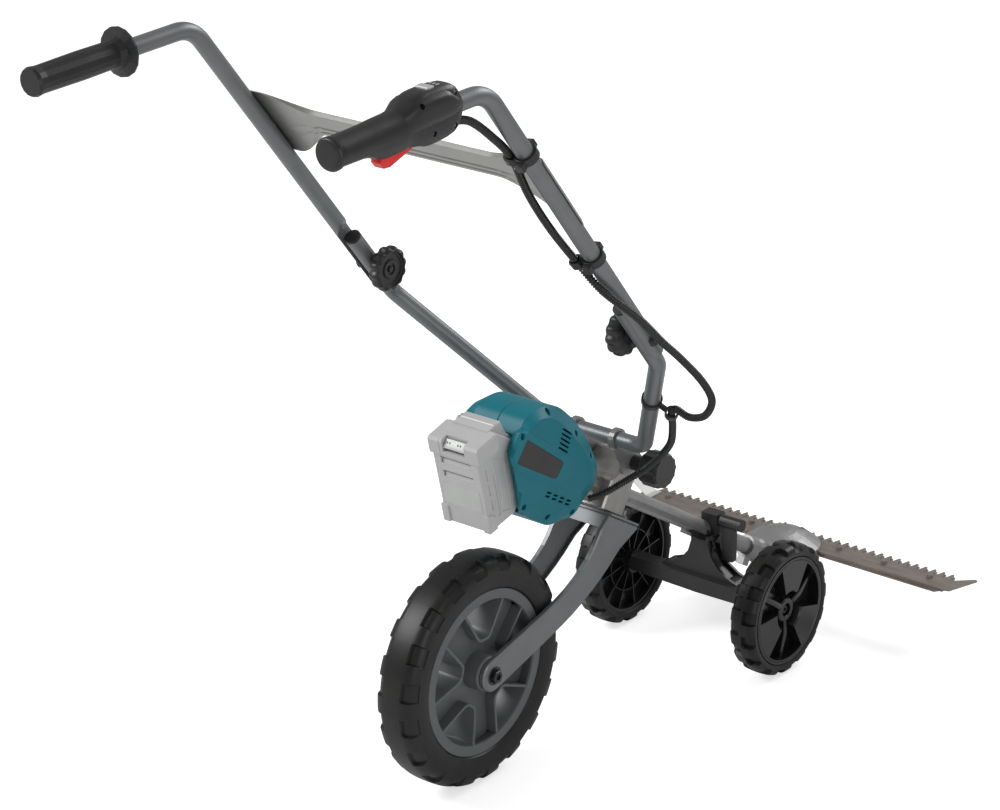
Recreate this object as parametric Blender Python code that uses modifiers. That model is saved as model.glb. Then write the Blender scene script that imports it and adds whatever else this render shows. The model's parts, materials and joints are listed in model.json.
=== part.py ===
"""Cordless walk-behind sickle-bar mower: folding handle, large rear wheel, two small front wheels.

Metres, +X to the machine's right, +Y forward, +Z up. The origin is on the ground, in the middle
of the machine's length and width.
"""
import math

import bmesh
import bpy
from mathutils import Matrix, Vector

OBJECT_NAME = "cordless_sickle_bar_mower"

# Running gaps
GAP = 0.0003
SLACK = 0.0008

# Wheels
REAR_WHEEL_RADIUS = 0.155
REAR_TYRE_WIDTH = 0.062
REAR_RIM_RADIUS = 0.112
REAR_RIM_WIDTH = 0.052
REAR_HUB_WIDTH = 0.066
REAR_LUGS = 24
REAR_SPOKES = 5
FRONT_WHEEL_RADIUS = 0.094
FRONT_TYRE_WIDTH = 0.040
FRONT_RIM_RADIUS = 0.077
FRONT_TRACK = 0.267
FRONT_LUGS = 16
FRONT_POCKETS = 3
WHEELBASE = 0.503
AXLE_RADIUS = 0.005
TREAD_DEPTH = 0.006

# Drive line: an axis that slopes down to the cutter bar
DRIVE_TILT = math.radians(31)
DRIVE_HEIGHT = 0.480
PIPE_RADIUS = 0.0115
PIPE_START = 0.250
PIPE_END = 0.735
SHAFT_RADIUS = 0.004

# Motor housing
HOUSING_RADIUS = 0.069
HOUSING_KEEL = 0.077
HOUSING_HALF_WIDTH = 0.053
HOUSING_PAD_FACE = 0.0555
HOUSING_NOSE = 0.244
HOUSING_WALL = 0.0025
STATOR_RADIUS = 0.042
STATOR_START = 0.116
STATOR_LENGTH = 0.052
ROTOR_RADIUS = 0.025
BEARING_RADIUS = 0.011
BEARING_WIDTH = 0.007
REAR_BEARING = 0.102
FRONT_BEARING = 0.200
FAN_RADIUS = 0.036
FAN_START = 0.176
FAN_BLADES = 9

# Battery, which drops into the back of the housing
BATTERY_TILT = math.radians(14)
BATTERY_Y = 0.002
BATTERY_Z = 0.357
BATTERY_WIDTH = 0.074
BATTERY_COVER_WIDTH = 0.082
BATTERY_RAIL_WIDTH = 0.060
BATTERY_BACK = -0.004
BATTERY_DEPTH = 0.0545
BATTERY_RAIL = 0.070
BATTERY_HEIGHT = 0.123
BATTERY_INSET = 0.0115

# Handle
TUBE_RADIUS = 0.011
HANDLE_ANGLE = math.radians(51)
HANDLE_WIDTH = 0.444
BASE_TUBE_S = 0.268
BASE_TUBE_H = 0.062
BASE_HALF_WIDTH = 0.078
LOWER_RISE = 0.2496
FOLD_RISE = 0.308
LOWER_END_RISE = 0.370
UPPER_START_RISE = 0.280
HANDLE_RISE = 0.7845
HANDLE_BEND = 0.050
GRIP_DROP = math.radians(2.7)
GRIP_REACH = 0.2545
FLAT_THICKNESS = 0.009
PLUG_THICKNESS = 0.003
KNOB_RADIUS = 0.030
KNOB_DEPTH = 0.022
KNOB_LOBES = 12
BOLT_RADIUS = 0.003
BRACE_TOP = 0.626
BRACE_BOTTOM = 0.582
SADDLE_TOP = 0.650
SADDLE_BOTTOM = 0.534
BRACE_THICKNESS = 0.002

# Clamp that carries the handle, and the knob it tilts on
CLAMP_START = 0.296
CLAMP_END = 0.347
CLAMP_HALF_WIDTH = 0.029
GUSSET_THICKNESS = 0.003
TILT_S = 0.326
TILT_H = 0.043
TILT_KNOB_RADIUS = 0.0245
TILT_KNOB_DEPTH = 0.030
COLLAR_WIDTH = 0.008

# Rear fork
FORK_H = -0.0310
FORK_START = 0.302
FORK_END = 0.372
FORK_PLATE = 0.003
ARM_INSIDE = 0.0338
ARM_DEPTH = 0.0070
ARM_WALL = 0.0022
ARM_END_RADIUS = 0.022

# Front wheel bracket, clamped on the pipe
BRACKET_Y = WHEELBASE
BRACKET_THICKNESS = 0.024
UPRIGHT_BACK = 0.500
UPRIGHT_FRONT = 0.530
BEAM_HALF_LENGTH = 0.112
BEAM_HEIGHT = 0.0205
BEAM_RISE = 0.0125
BRACKET_FLARE = 0.058
BRACKET_NECK = 0.0145
FRONT_AXLE_RADIUS = 0.004
FRONT_AXLE_END = 0.003
CLAMP_RING_RADIUS = 0.0200
CLAMP_RING_LENGTH = 0.034
CLAMP_RING_S = 0.625
LEVER_Z = 0.189
LEVER_Y = 0.520
LEVER_RADIUS = 0.0088

# Gear case and cutter bar
CRANK_Y = 0.704
COMB_TOP = 0.0825
PLATE_THICKNESS = 0.0025
BAR_REAR = 0.716
BAR_ROOT = 0.751
BAR_TIP = 0.768
BAR_HOOK = 0.0055
BAR_HALF = 0.2885
BAR_BOLT_Y = 0.740
BAR_BOLT_PITCH = 0.0765
BAR_BOLTS_A_SIDE = 3
TOOTH_PITCH = 0.0148
TEETH_A_SIDE = 17
BLADE_THROW = 0.0074
CAM_RADIUS = 0.008
CRANK_SHAFT_RADIUS = 0.006
CRANK_TEETH = 27
PINION_TEETH = 12
GEAR_TOP = 0.0900
GEAR_FACE = 0.0048
CASE_RADIUS = 0.0575
CASE_TOP = 0.106
CASE_WALL = 0.0028
BAR_TAB = 0.6860

# Switch housing on the right grip
SWITCH_HALF_WIDTH = 0.022
TRIGGER_HALF_WIDTH = 0.0075
TRIGGER_PIN_RADIUS = 0.002
BUTTON_TRAVEL = 0.0015

# Cable
CABLE_RADIUS = 0.005

PALETTE = {
    "silver_paint": ((0.20, 0.21, 0.215), 0.38, 0.75),
    "brace_metal": ((0.27, 0.28, 0.265), 0.36, 0.80),
    "cast_grey": ((0.33, 0.34, 0.335), 0.42, 0.75),
    "bright_cast": ((0.52, 0.51, 0.49), 0.35, 0.85),
    "teal_plastic": ((0.020, 0.215, 0.255), 0.48, 0.0),
    "battery_plastic": ((0.52, 0.52, 0.52), 0.55, 0.0),
    "black_plastic": ((0.018, 0.018, 0.019), 0.50, 0.0),
    "grip_rubber": ((0.030, 0.030, 0.031), 0.75, 0.0),
    "tyre_rubber": ((0.026, 0.024, 0.023), 0.80, 0.0),
    "rim_plastic": ((0.085, 0.095, 0.100), 0.50, 0.0),
    "front_rim_plastic": ((0.020, 0.020, 0.021), 0.42, 0.0),
    "red_plastic": ((0.75, 0.030, 0.022), 0.40, 0.0),
    "pale_plastic": ((0.55, 0.56, 0.55), 0.45, 0.0),
    "blade_steel": ((0.30, 0.255, 0.235), 0.42, 0.85),
    "bright_steel": ((0.60, 0.61, 0.62), 0.28, 0.95),
    "copper": ((0.72, 0.33, 0.16), 0.35, 0.90),
    "board_green": ((0.020, 0.150, 0.070), 0.55, 0.0),
    "cable_black": ((0.015, 0.015, 0.015), 0.55, 0.0),
}

ALONG_X = Matrix.Rotation(math.pi / 2, 4, "Y")
ALONG_Y = Matrix.Rotation(-math.pi / 2, 4, "X")
ALONG_Z = Matrix.Identity(4)


def clear_scene():
    for obj in list(bpy.data.objects):
        bpy.data.objects.remove(obj, do_unlink=True)


def new_collection(name):
    collection = bpy.data.collections.new(name)
    bpy.context.scene.collection.children.link(collection)
    return collection


clear_scene()
PARTS = new_collection(OBJECT_NAME)
CUTTERS = new_collection("cutters")


def make_material(name):
    colour, roughness, metallic = PALETTE[name]
    material = bpy.data.materials.new(name)
    material.use_nodes = True
    shader = material.node_tree.nodes["Principled BSDF"]
    shader.inputs["Base Color"].default_value = (*colour, 1.0)
    shader.inputs["Roughness"].default_value = roughness
    shader.inputs["Metallic"].default_value = metallic
    return material


MATERIALS = {name: make_material(name) for name in PALETTE}


# Meshes

def finished(bm):
    """Turn a bmesh into a mesh whose faces point out."""
    bmesh.ops.recalc_face_normals(bm, faces=bm.faces)
    mesh = bpy.data.meshes.new("shape")
    bm.to_mesh(mesh)
    bm.free()
    return mesh


def baked(obj):
    """Evaluate a construction object, weld its seams and caps, and return the mesh."""
    bpy.context.view_layer.update()
    graph = bpy.context.evaluated_depsgraph_get()
    mesh = bpy.data.meshes.new_from_object(obj.evaluated_get(graph))
    bpy.data.objects.remove(obj, do_unlink=True)
    bm = bmesh.new()
    bm.from_mesh(mesh)
    bmesh.ops.remove_doubles(bm, verts=bm.verts, dist=1e-6)
    bpy.data.meshes.remove(mesh)
    return finished(bm)


def moved(mesh, offset):
    mesh.transform(Matrix.Translation(offset))
    return mesh


def block(low, high):
    """A box from its two corners."""
    low, high = Vector(low), Vector(high)
    size = high - low
    bm = bmesh.new()
    place = Matrix.Translation((low + high) / 2) @ Matrix.Diagonal((*size, 1))
    bmesh.ops.create_cube(bm, size=1, matrix=place)
    return finished(bm)


def rod(start, end, radius, sides=24, end_radius=None):
    """A cylinder or cone between two points."""
    start, end = Vector(start), Vector(end)
    span = end - start
    turn = Vector((0, 0, 1)).rotation_difference(span).to_matrix().to_4x4()
    bm = bmesh.new()
    bmesh.ops.create_cone(
        bm, cap_ends=True, segments=sides, radius1=radius,
        radius2=radius if end_radius is None else end_radius,
        depth=span.length, matrix=Matrix.Translation((start + end) / 2) @ turn)
    return finished(bm)


def turned(profile, axis=ALONG_Z, centre=(0, 0, 0), steps=32, closed=False):
    """Spin a list of (radius, height) points round an axis through centre."""
    mesh = bpy.data.meshes.new("profile")
    edges = [(i, i + 1) for i in range(len(profile) - 1)]
    if closed:
        edges.append((len(profile) - 1, 0))
    mesh.from_pydata([(radius, 0, height) for radius, height in profile], edges, [])
    obj = bpy.data.objects.new("profile", mesh)
    PARTS.objects.link(obj)
    screw = obj.modifiers.new("turn", "SCREW")
    screw.steps = steps
    screw.render_steps = steps
    screw.use_merge_vertices = True
    screw.merge_threshold = 1e-6
    result = baked(obj)
    result.transform(Matrix.Translation(centre) @ axis)
    return result


def plate(loops, thickness, axis=ALONG_Z, centre=(0, 0, 0)):
    """Extrude a flat outline, whose further loops are its holes."""
    curve = bpy.data.curves.new("outline", "CURVE")
    curve.dimensions = "2D"
    curve.fill_mode = "BOTH"
    curve.extrude = thickness / 2
    for loop in loops:
        spline = curve.splines.new("POLY")
        spline.points.add(len(loop) - 1)
        for point, (x, y) in zip(spline.points, loop):
            point.co = (x, y, 0, 1)
        spline.use_cyclic_u = True
    obj = bpy.data.objects.new("outline", curve)
    PARTS.objects.link(obj)
    result = baked(obj)
    result.transform(Matrix.Translation(centre) @ axis)
    return result


def tube(points, radius, resolution=3):
    """A round bar along a list of points, with closed ends."""
    curve = bpy.data.curves.new("route", "CURVE")
    curve.dimensions = "3D"
    curve.bevel_depth = radius
    curve.bevel_resolution = resolution
    curve.use_fill_caps = True
    spline = curve.splines.new("POLY")
    spline.points.add(len(points) - 1)
    for point, place in zip(spline.points, points):
        point.co = (*place, 1)
    obj = bpy.data.objects.new("route", curve)
    PARTS.objects.link(obj)
    return baked(obj)


def stack(rings):
    """Skin a row of rings with equal point counts, and close both ends."""
    bm = bmesh.new()
    rows = [[bm.verts.new(point) for point in ring] for ring in rings]
    count = len(rows[0])
    for first, second in zip(rows, rows[1:]):
        for i in range(count):
            j = (i + 1) % count
            bm.faces.new((first[i], first[j], second[j], second[i]))
    bm.faces.new(rows[0])
    bm.faces.new(rows[-1])
    return finished(bm)


def slab(mesh, axis, low, high):
    """Keep the part of a closed mesh between two planes across an axis."""
    bm = bmesh.new()
    bm.from_mesh(mesh)
    for limit, side in ((low, -1), (high, 1)):
        point = Vector((0, 0, 0))
        point[axis] = limit
        normal = Vector((0, 0, 0))
        normal[axis] = side
        bmesh.ops.bisect_plane(bm, geom=bm.verts[:] + bm.edges[:] + bm.faces[:],
                               plane_co=point, plane_no=normal, clear_outer=True)
        rim = [edge for edge in bm.edges if edge.is_boundary]
        bmesh.ops.holes_fill(bm, edges=rim, sides=0)
    bpy.data.meshes.remove(mesh)
    return finished(bm)


def mirrored(mesh):
    """The same mesh on the other side of the machine."""
    mesh = mesh.copy()
    mesh.transform(Matrix.Scale(-1, 4, (1, 0, 0)))
    mesh.flip_normals()
    return mesh


# Outlines and routes

def arc(centre, radius, start, end, steps):
    """Points on an arc, from one angle in degrees to another, both included."""
    angles = [math.radians(start + (end - start) * i / steps) for i in range(steps + 1)]
    return [(centre[0] + radius * math.cos(a), centre[1] + radius * math.sin(a)) for a in angles]


def circle(centre, radius, steps=16):
    return arc(centre, radius, 0, 360 * (1 - 1 / steps), steps - 1)


def rounded(corners, radius, steps=6):
    """A route through 3-D corners, with each inner corner bent to a radius."""
    corners = [Vector(corner) for corner in corners]
    route = [corners[0]]
    for before, corner, after in zip(corners, corners[1:], corners[2:]):
        back = (before - corner).normalized()
        ahead = (after - corner).normalized()
        half = back.angle(ahead) / 2
        reach = radius / math.tan(half)
        start, end = corner + back * reach, corner + ahead * reach
        centre = corner + (back + ahead).normalized() * radius / math.sin(half)
        spoke_a, spoke_b = start - centre, end - centre
        for i in range(steps + 1):
            spoke = spoke_a.normalized().slerp(spoke_b.normalized(), i / steps)
            route.append(centre + spoke.normalized() * radius)
    route.append(corners[-1])
    return route


def smooth_route(points, steps):
    """A curve through hand-placed points."""
    points = [Vector(point) for point in points]
    ends = [points[0] * 2 - points[1]] + points + [points[-1] * 2 - points[-2]]
    route = []
    for a, b, c, d in zip(ends, ends[1:], ends[2:], ends[3:]):
        for i in range(steps):
            t = i / steps
            route.append(0.5 * ((2 * b) + (c - a) * t + (2 * a - 5 * b + 4 * c - d) * t * t
                                + (3 * b - 3 * c + d - a) * t ** 3))
    route.append(points[-1])
    return route


def signed_area(loop):
    return sum(a[0] * b[1] - b[0] * a[1] for a, b in zip(loop, loop[1:] + loop[:1])) / 2


def inset(outline, distance):
    """Move every edge of an outline inwards."""
    distance = math.copysign(distance, signed_area(outline))
    lines = []
    count = len(outline)
    for i in range(count):
        a, b = Vector(outline[i]), Vector(outline[(i + 1) % count])
        along = (b - a).normalized()
        normal = Vector((-along.y, along.x))
        lines.append((a + normal * distance, along))
    points = []
    for i in range(count):
        (p, r), (q, s) = lines[i - 1], lines[i]
        cross = r.x * s.y - r.y * s.x
        t = ((q - p).x * s.y - (q - p).y * s.x) / cross
        points.append(tuple(p + r * t))
    return points


def lobed(radius, depth, lobes, steps_each=3):
    """A hand knob's outline."""
    points = []
    for i in range(lobes * steps_each):
        angle = 2 * math.pi * i / (lobes * steps_each)
        wave = 0.5 - 0.5 * math.cos(lobes * angle)
        reach = radius - depth * wave
        points.append((reach * math.cos(angle), reach * math.sin(angle)))
    return points


# Frames and objects

def frame(name, parent=None, place=(0, 0, 0), tilt=0.0):
    """An empty that carries pieces drawn in its own coordinates."""
    empty = bpy.data.objects.new(name, None)
    PARTS.objects.link(empty)
    empty.parent = parent
    empty.location = place
    empty.rotation_euler = (tilt, 0, 0)
    return empty


def piece(name, mesh, material, parent, pivot=(0, 0, 0)):
    """A named part whose origin is at pivot, in its parent's coordinates."""
    mesh.name = name
    moved(mesh, -Vector(pivot))
    mesh.shade_smooth()
    mesh.set_sharp_from_angle(angle=math.radians(32))
    mesh.materials.append(MATERIALS[material])
    obj = bpy.data.objects.new(name, mesh)
    PARTS.objects.link(obj)
    obj.parent = parent
    obj.location = pivot
    return obj


def soften(obj, width, segments=1, angle=30):
    bevel = obj.modifiers.new("bevel", "BEVEL")
    bevel.width = width
    bevel.segments = segments
    bevel.limit_method = "ANGLE"
    bevel.angle_limit = math.radians(angle)


def combine(obj, operation, *meshes):
    """Join or cut an object with meshes drawn in its parent's coordinates."""
    for mesh in meshes:
        tool = bpy.data.objects.new("tool_" + obj.name, mesh)
        CUTTERS.objects.link(tool)
        tool.parent = obj.parent
        tool.hide_render = True
        tool.display_type = "WIRE"
        boolean = obj.modifiers.new(operation.lower(), "BOOLEAN")
        boolean.operation = operation
        boolean.solver = "EXACT"
        boolean.object = tool


def join(obj, *meshes):
    combine(obj, "UNION", *meshes)


def cut(obj, *meshes):
    combine(obj, "DIFFERENCE", *meshes)


# Places that several pieces share

def drive_point(s, h, x=0.0):
    """Machine coordinates of a place along (s) and above (h) the drive axis."""
    return Vector((x, s * math.cos(DRIVE_TILT) + h * math.sin(DRIVE_TILT),
                   DRIVE_HEIGHT - s * math.sin(DRIVE_TILT) + h * math.cos(DRIVE_TILT)))


def drive_coordinates(y, z):
    """The reverse of drive_point."""
    z -= DRIVE_HEIGHT
    return (y * math.cos(DRIVE_TILT) - z * math.sin(DRIVE_TILT),
            y * math.sin(DRIVE_TILT) + z * math.cos(DRIVE_TILT))


def battery_to_drive(depth, height):
    """Drive coordinates of a place in the battery's frame."""
    y = BATTERY_Y + depth * math.cos(BATTERY_TILT) - height * math.sin(BATTERY_TILT)
    z = BATTERY_Z + depth * math.sin(BATTERY_TILT) + height * math.cos(BATTERY_TILT)
    return drive_coordinates(y, z)


HANDLE_LEAN = math.pi / 2 - HANDLE_ANGLE
BASE_TUBE = drive_point(BASE_TUBE_S, BASE_TUBE_H)
HANDLE_UP = Vector((0, -math.cos(HANDLE_ANGLE), math.sin(HANDLE_ANGLE)))
GRIP_BACK = Vector((0, -math.cos(GRIP_DROP), -math.sin(GRIP_DROP)))
HANDLE_TOP = BASE_TUBE + HANDLE_UP * HANDLE_RISE
HALF_HANDLE = HANDLE_WIDTH / 2
FLAT_X = HALF_HANDLE + TUBE_RADIUS - FLAT_THICKNESS
LOWER_X = FLAT_X - GAP - TUBE_RADIUS
REAR_END = (HANDLE_TOP + GRIP_BACK * GRIP_REACH).y
FRONT_END = max(BAR_TIP + BAR_HOOK, CRANK_Y + CASE_RADIUS)
MIDDLE_Y = (REAR_END + FRONT_END) / 2

MACHINE = frame("machine_frame", None, (0, -MIDDLE_Y, 0))
DRIVE = frame("drive_frame", MACHINE, (0, 0, DRIVE_HEIGHT), -DRIVE_TILT)
BATTERY = frame("battery_frame", MACHINE, (0, BATTERY_Y, BATTERY_Z), BATTERY_TILT)
HANDLE = frame("handle_frame", MACHINE, BASE_TUBE, HANDLE_LEAN)
GRIPS = frame("grip_frame", MACHINE, HANDLE_TOP, GRIP_DROP)


# Wheels

def lugged_tyre(section, lugs, duty=0.5):
    """A tyre from its closed section. Each point is (x, groove radius, lug radius, row)."""
    bm = bmesh.new()
    rings = []
    blend = 0.04
    for i in range(lugs):
        for share, rows in ((0.0, (1,)), (duty - blend, (1,)), (duty, (2,)), (1 - blend, (2,))):
            angle = 2 * math.pi * (i + share) / lugs
            ring = []
            for x, groove, lug, row in section:
                radius = lug if row in rows or row == 3 else groove
                ring.append(bm.verts.new((x, radius * math.sin(angle), radius * math.cos(angle))))
            rings.append(ring)
    count = len(section)
    for k, ring in enumerate(rings):
        after = rings[(k + 1) % len(rings)]
        for i in range(count):
            j = (i + 1) % count
            bm.faces.new((ring[i], ring[j], after[j], after[i]))
    return finished(bm)


def tyre_section(radius, bead, half_width, half_band):
    """A tyre with one row of lugs across it, beside a plain centre band."""
    groove = radius - TREAD_DEPTH
    shoulder = radius - 0.35 * TREAD_DEPTH
    return [
        (-half_width * 0.80, bead, bead, 0),
        (-half_width, groove - 0.004, groove - 0.002, 1),
        (-half_width * 0.93, groove, shoulder, 1),
        (-half_band, groove, radius, 1),
        (half_band, groove, radius, 1),
        (half_width * 0.93, groove, shoulder, 1),
        (half_width, groove - 0.004, groove - 0.002, 1),
        (half_width * 0.80, bead, bead, 0),
    ]


def staggered_section(radius, bead, half_width):
    """A tyre with a row of lugs on each side, half a pitch apart."""
    groove = radius - TREAD_DEPTH
    shoulder = radius - 0.35 * TREAD_DEPTH
    return [
        (-half_width * 0.80, bead, bead, 0),
        (-half_width, groove - 0.003, groove - 0.001, 1),
        (-half_width * 0.90, groove, shoulder, 1),
        (-0.001, groove, radius, 1),
        (0.001, groove, radius, 2),
        (half_width * 0.90, groove, shoulder, 2),
        (half_width, groove - 0.003, groove - 0.001, 2),
        (half_width * 0.80, bead, bead, 0),
    ]


def spoke_windows(count, inner, outer, half_gap, first):
    """Openings between double spokes: one wide window and one narrow channel for each."""
    loops = []
    pitch = 360 / count
    for i in range(count):
        centre = first + i * pitch
        wide_in = pitch / 2 - math.degrees(half_gap / inner)
        wide_out = pitch / 2 - math.degrees(half_gap / outer)
        middle = centre + pitch / 2
        loops.append(arc((0, 0), outer, middle - wide_out, middle + wide_out, 5)
                     + arc((0, 0), inner, middle + wide_in, middle - wide_in, 2))
    return loops


def rear_wheel():
    centre = (0, 0, REAR_WHEEL_RADIUS)
    hub = REAR_HUB_WIDTH / 2
    rim = REAR_RIM_WIDTH / 2
    bead = REAR_RIM_RADIUS - 2 * GAP
    well = REAR_RIM_RADIUS - 0.010
    ring = [(bead, -rim), (bead, rim), (well, rim), (well - 0.003, 0.006), (well - 0.003, -0.006),
            (well, -rim)]
    wheel = piece("rear_rim", turned(ring, ALONG_X, centre, 28, True), "rim_plastic", MACHINE, centre)
    hub_radius = 0.024
    spoke_half = 0.013
    windows = spoke_windows(REAR_SPOKES, hub_radius + 0.010, well - 0.010, spoke_half, 90)
    join(wheel, plate([circle((0, 0), well + 0.002, 30)] + windows, 0.022, ALONG_X, centre),
         moved(rod((-hub, 0, 0), (hub, 0, 0), hub_radius, 24), centre))
    for i in range(REAR_SPOKES):
        turn = Matrix.Translation(centre) @ Matrix.Rotation(2 * math.pi * i / REAR_SPOKES, 4, "X")
        for side in (-1, 1):
            low, high = sorted((side * 0.006, side * 0.020))
            channel = block((low, -0.0065, hub_radius + 0.012), (high, 0.0065, well - 0.012))
            channel.transform(turn)
            cut(wheel, channel)
    cut(wheel, moved(rod((-hub - 0.001, 0, 0), (hub + 0.001, 0, 0), AXLE_RADIUS + GAP, 16), centre))
    section = tyre_section(REAR_WHEEL_RADIUS, REAR_RIM_RADIUS, REAR_TYRE_WIDTH / 2, 0.017)
    piece("rear_tyre", moved(lugged_tyre(section, REAR_LUGS, 0.62), centre), "tyre_rubber", MACHINE, centre)
    reach = ARM_INSIDE + ARM_DEPTH
    axle = piece("rear_axle", moved(rod((-reach - 0.007, 0, 0), (reach + 0.007, 0, 0), AXLE_RADIUS, 16),
                                    centre),
                 "black_plastic", MACHINE)
    for side in (-1, 1):
        nut = rod((side * (reach + GAP), 0, 0), (side * (reach + 0.005), 0, 0), 0.0095, 6)
        join(axle, moved(nut, centre))


def wheel_pocket(middle, outer, side, low, high, draft):
    """A deep pocket in a wheel's face, narrow at the hub and wide at the rim."""
    outline = arc((0, 0), outer, middle - 35, middle + 35, 5)
    outline += arc((0, 0), 0.023, middle + 30, middle - 30, 2)
    rings = []
    for x, share in ((low, 1 - draft), (high, 1)):
        rings.append([(side * x, y * share, z * share) for z, y in outline])
    return stack(rings)


def front_wheel(label, side):
    """A dished wheel with three deep pockets, and its tyre, at the end of the front axle."""
    place = (side * FRONT_TRACK / 2, WHEELBASE, FRONT_WHEEL_RADIUS)
    hub_in = FRONT_TRACK / 2 - BEAM_HALF_LENGTH - GAP
    half = FRONT_TYRE_WIDTH / 2
    bead = FRONT_RIM_RADIUS - 2 * GAP
    face = half - 0.001
    web_in, web_out = -0.004, 0.0015
    hub_radius, hub_face = 0.0185, 0.0065

    def here(mesh):
        return moved(mesh, place)

    def spindle(start, end, radius, sides=15, end_radius=None):
        return here(rod((side * start, 0, 0), (side * end, 0, 0), radius, sides, end_radius))

    disc = [(0, web_in), (bead - 0.006, web_in), (bead - 0.005, -half * 0.8), (bead, -half * 0.8),
            (bead, face), (0.0265, face), (0.0245, web_out + 0.002), (0, web_out + 0.002)]
    disc = [(radius, side * x) for radius, x in disc]
    wheel = piece(f"front_{label}_wheel", turned(disc, ALONG_X, place, 26), "front_rim_plastic", MACHINE,
                  place)
    for i in range(FRONT_POCKETS):
        middle = 68 + 360 * i / FRONT_POCKETS
        cut(wheel, here(wheel_pocket(middle, 0.0705, side, web_out, face + 0.001, 0.03)))
        low, high = sorted((side * (web_out - 0.001), side * 0.0125))
        ridge = block((low, -0.0028, hub_radius - 0.002), (high, 0.0028, 0.0715))
        ridge.transform(Matrix.Rotation(math.radians(4 - middle), 4, "X"))
        join(wheel, here(ridge))
    join(wheel, spindle(-hub_in, hub_face, hub_radius, 14),
         spindle(hub_face - 0.001, hub_face + 0.002, 0.0115, 10, 0.009))
    for i in range(2 * FRONT_POCKETS):
        low, high = sorted((side * -0.0125, side * (web_in + 0.001)))
        rib = block((low, -0.0012, hub_radius - 0.003), (high, 0.0012, bead - 0.0035))
        rib.transform(Matrix.Rotation(math.pi * (i + 0.13) / FRONT_POCKETS, 4, "X"))
        join(wheel, here(rib))
    cut(wheel, spindle(-hub_in - 0.001, FRONT_AXLE_END + GAP, FRONT_AXLE_RADIUS + GAP, 12))
    section = staggered_section(FRONT_WHEEL_RADIUS, FRONT_RIM_RADIUS, half)
    piece(f"front_{label}_tyre", here(lugged_tyre(section, FRONT_LUGS)), "tyre_rubber", MACHINE, place)


# Rear fork

def strip(centres, steps=3):
    """The outline of a curved strip from (y, z, half width) stations, with a round first end."""
    route = smooth_route([(y, z, w) for y, z, w in centres], steps)
    left, right = [], []
    for i, point in enumerate(route):
        before, after = route[max(i - 1, 0)], route[min(i + 1, len(route) - 1)]
        along = Vector((after.x - before.x, after.y - before.y)).normalized()
        normal = Vector((-along.y, along.x))
        left.append(tuple(Vector(point[:2]) + normal * point.z))
        right.append(tuple(Vector(point[:2]) - normal * point.z))
    start = math.degrees(math.atan2(left[0][1] - centres[0][1], left[0][0] - centres[0][0]))
    cap = arc(centres[0][:2], centres[0][2], start, start + 180, 10)[1:-1]
    return left[::-1] + cap + right


def under(point, limit):
    """Lower a (y, z) point that stands above a height over the drive axis."""
    s, h = drive_coordinates(*point)
    place = drive_point(s, min(h, limit))
    return (place.y, place.z)


def fork():
    top_rear = drive_point(FORK_START, FORK_H - FORK_PLATE - GAP)
    top_front = drive_point(FORK_END, FORK_H - FORK_PLATE - GAP)
    outline = strip([
        (0.0, REAR_WHEEL_RADIUS, ARM_END_RADIUS),
        (0.085, 0.178, 0.0205),
        (0.155, 0.200, 0.0205),
        (0.208, 0.229, 0.023),
        (0.2425, 0.260, 0.029),
    ])
    outline = [under(point, FORK_H - FORK_PLATE - GAP) for point in outline]
    outline += [(top_front.y, top_front.z - 0.004), (top_front.y, top_front.z), (top_rear.y, top_rear.z)]
    outside = ARM_INSIDE + ARM_DEPTH
    ring = [(ARM_INSIDE, y, z) for y, z in outline]
    edge = [(outside - 0.002, y, z) for y, z in outline]
    bevelled = inset(outline, 0.002)
    face = [(outside, y, z) for y, z in bevelled]
    arm = stack([ring, edge, face])
    hollow = inset(outline, ARM_WALL)
    pocket = stack([[(ARM_INSIDE - 0.001, y, z) for y, z in hollow],
                    [(outside - ARM_WALL, y, z) for y, z in hollow]])
    boss = rod((ARM_INSIDE, 0, REAR_WHEEL_RADIUS), (outside - 0.001, 0, REAR_WHEEL_RADIUS), 0.012, 20)
    bore = rod((0, 0, REAR_WHEEL_RADIUS), (outside + 0.01, 0, REAR_WHEEL_RADIUS), AXLE_RADIUS + GAP, 16)
    for label, flip in (("right", False), ("left", True)):
        shapes = [mesh.copy() for mesh in (arm, pocket, boss, bore)]
        if flip:
            shapes = [mirrored(mesh) for mesh in shapes]
        obj = piece(f"fork_arm_{label}", shapes[0], "silver_paint", MACHINE)
        cut(obj, shapes[1])
        join(obj, shapes[2])
        cut(obj, shapes[3])
    half = ARM_INSIDE + ARM_DEPTH
    head = piece("fork_plate", block((-half, FORK_START, FORK_H - FORK_PLATE), (half, FORK_END, FORK_H)),
                 "silver_paint", DRIVE)
    tongue = block((-ARM_INSIDE + 0.001, FORK_START + 0.006, FORK_H - 0.022),
                   (ARM_INSIDE - 0.001, FORK_START + 0.009, FORK_H - 0.002))
    join(head, tongue)
    for x, s in ((-0.024, 0.355), (0.024, 0.355)):
        join(head, rod((x, s, FORK_H - 0.008), (x, s, FORK_H + 0.011), 0.0032, 12),
             rod((x, s, FORK_H - 0.001), (x, s, FORK_H + 0.004), 0.006, 6))


# Drive line

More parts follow.
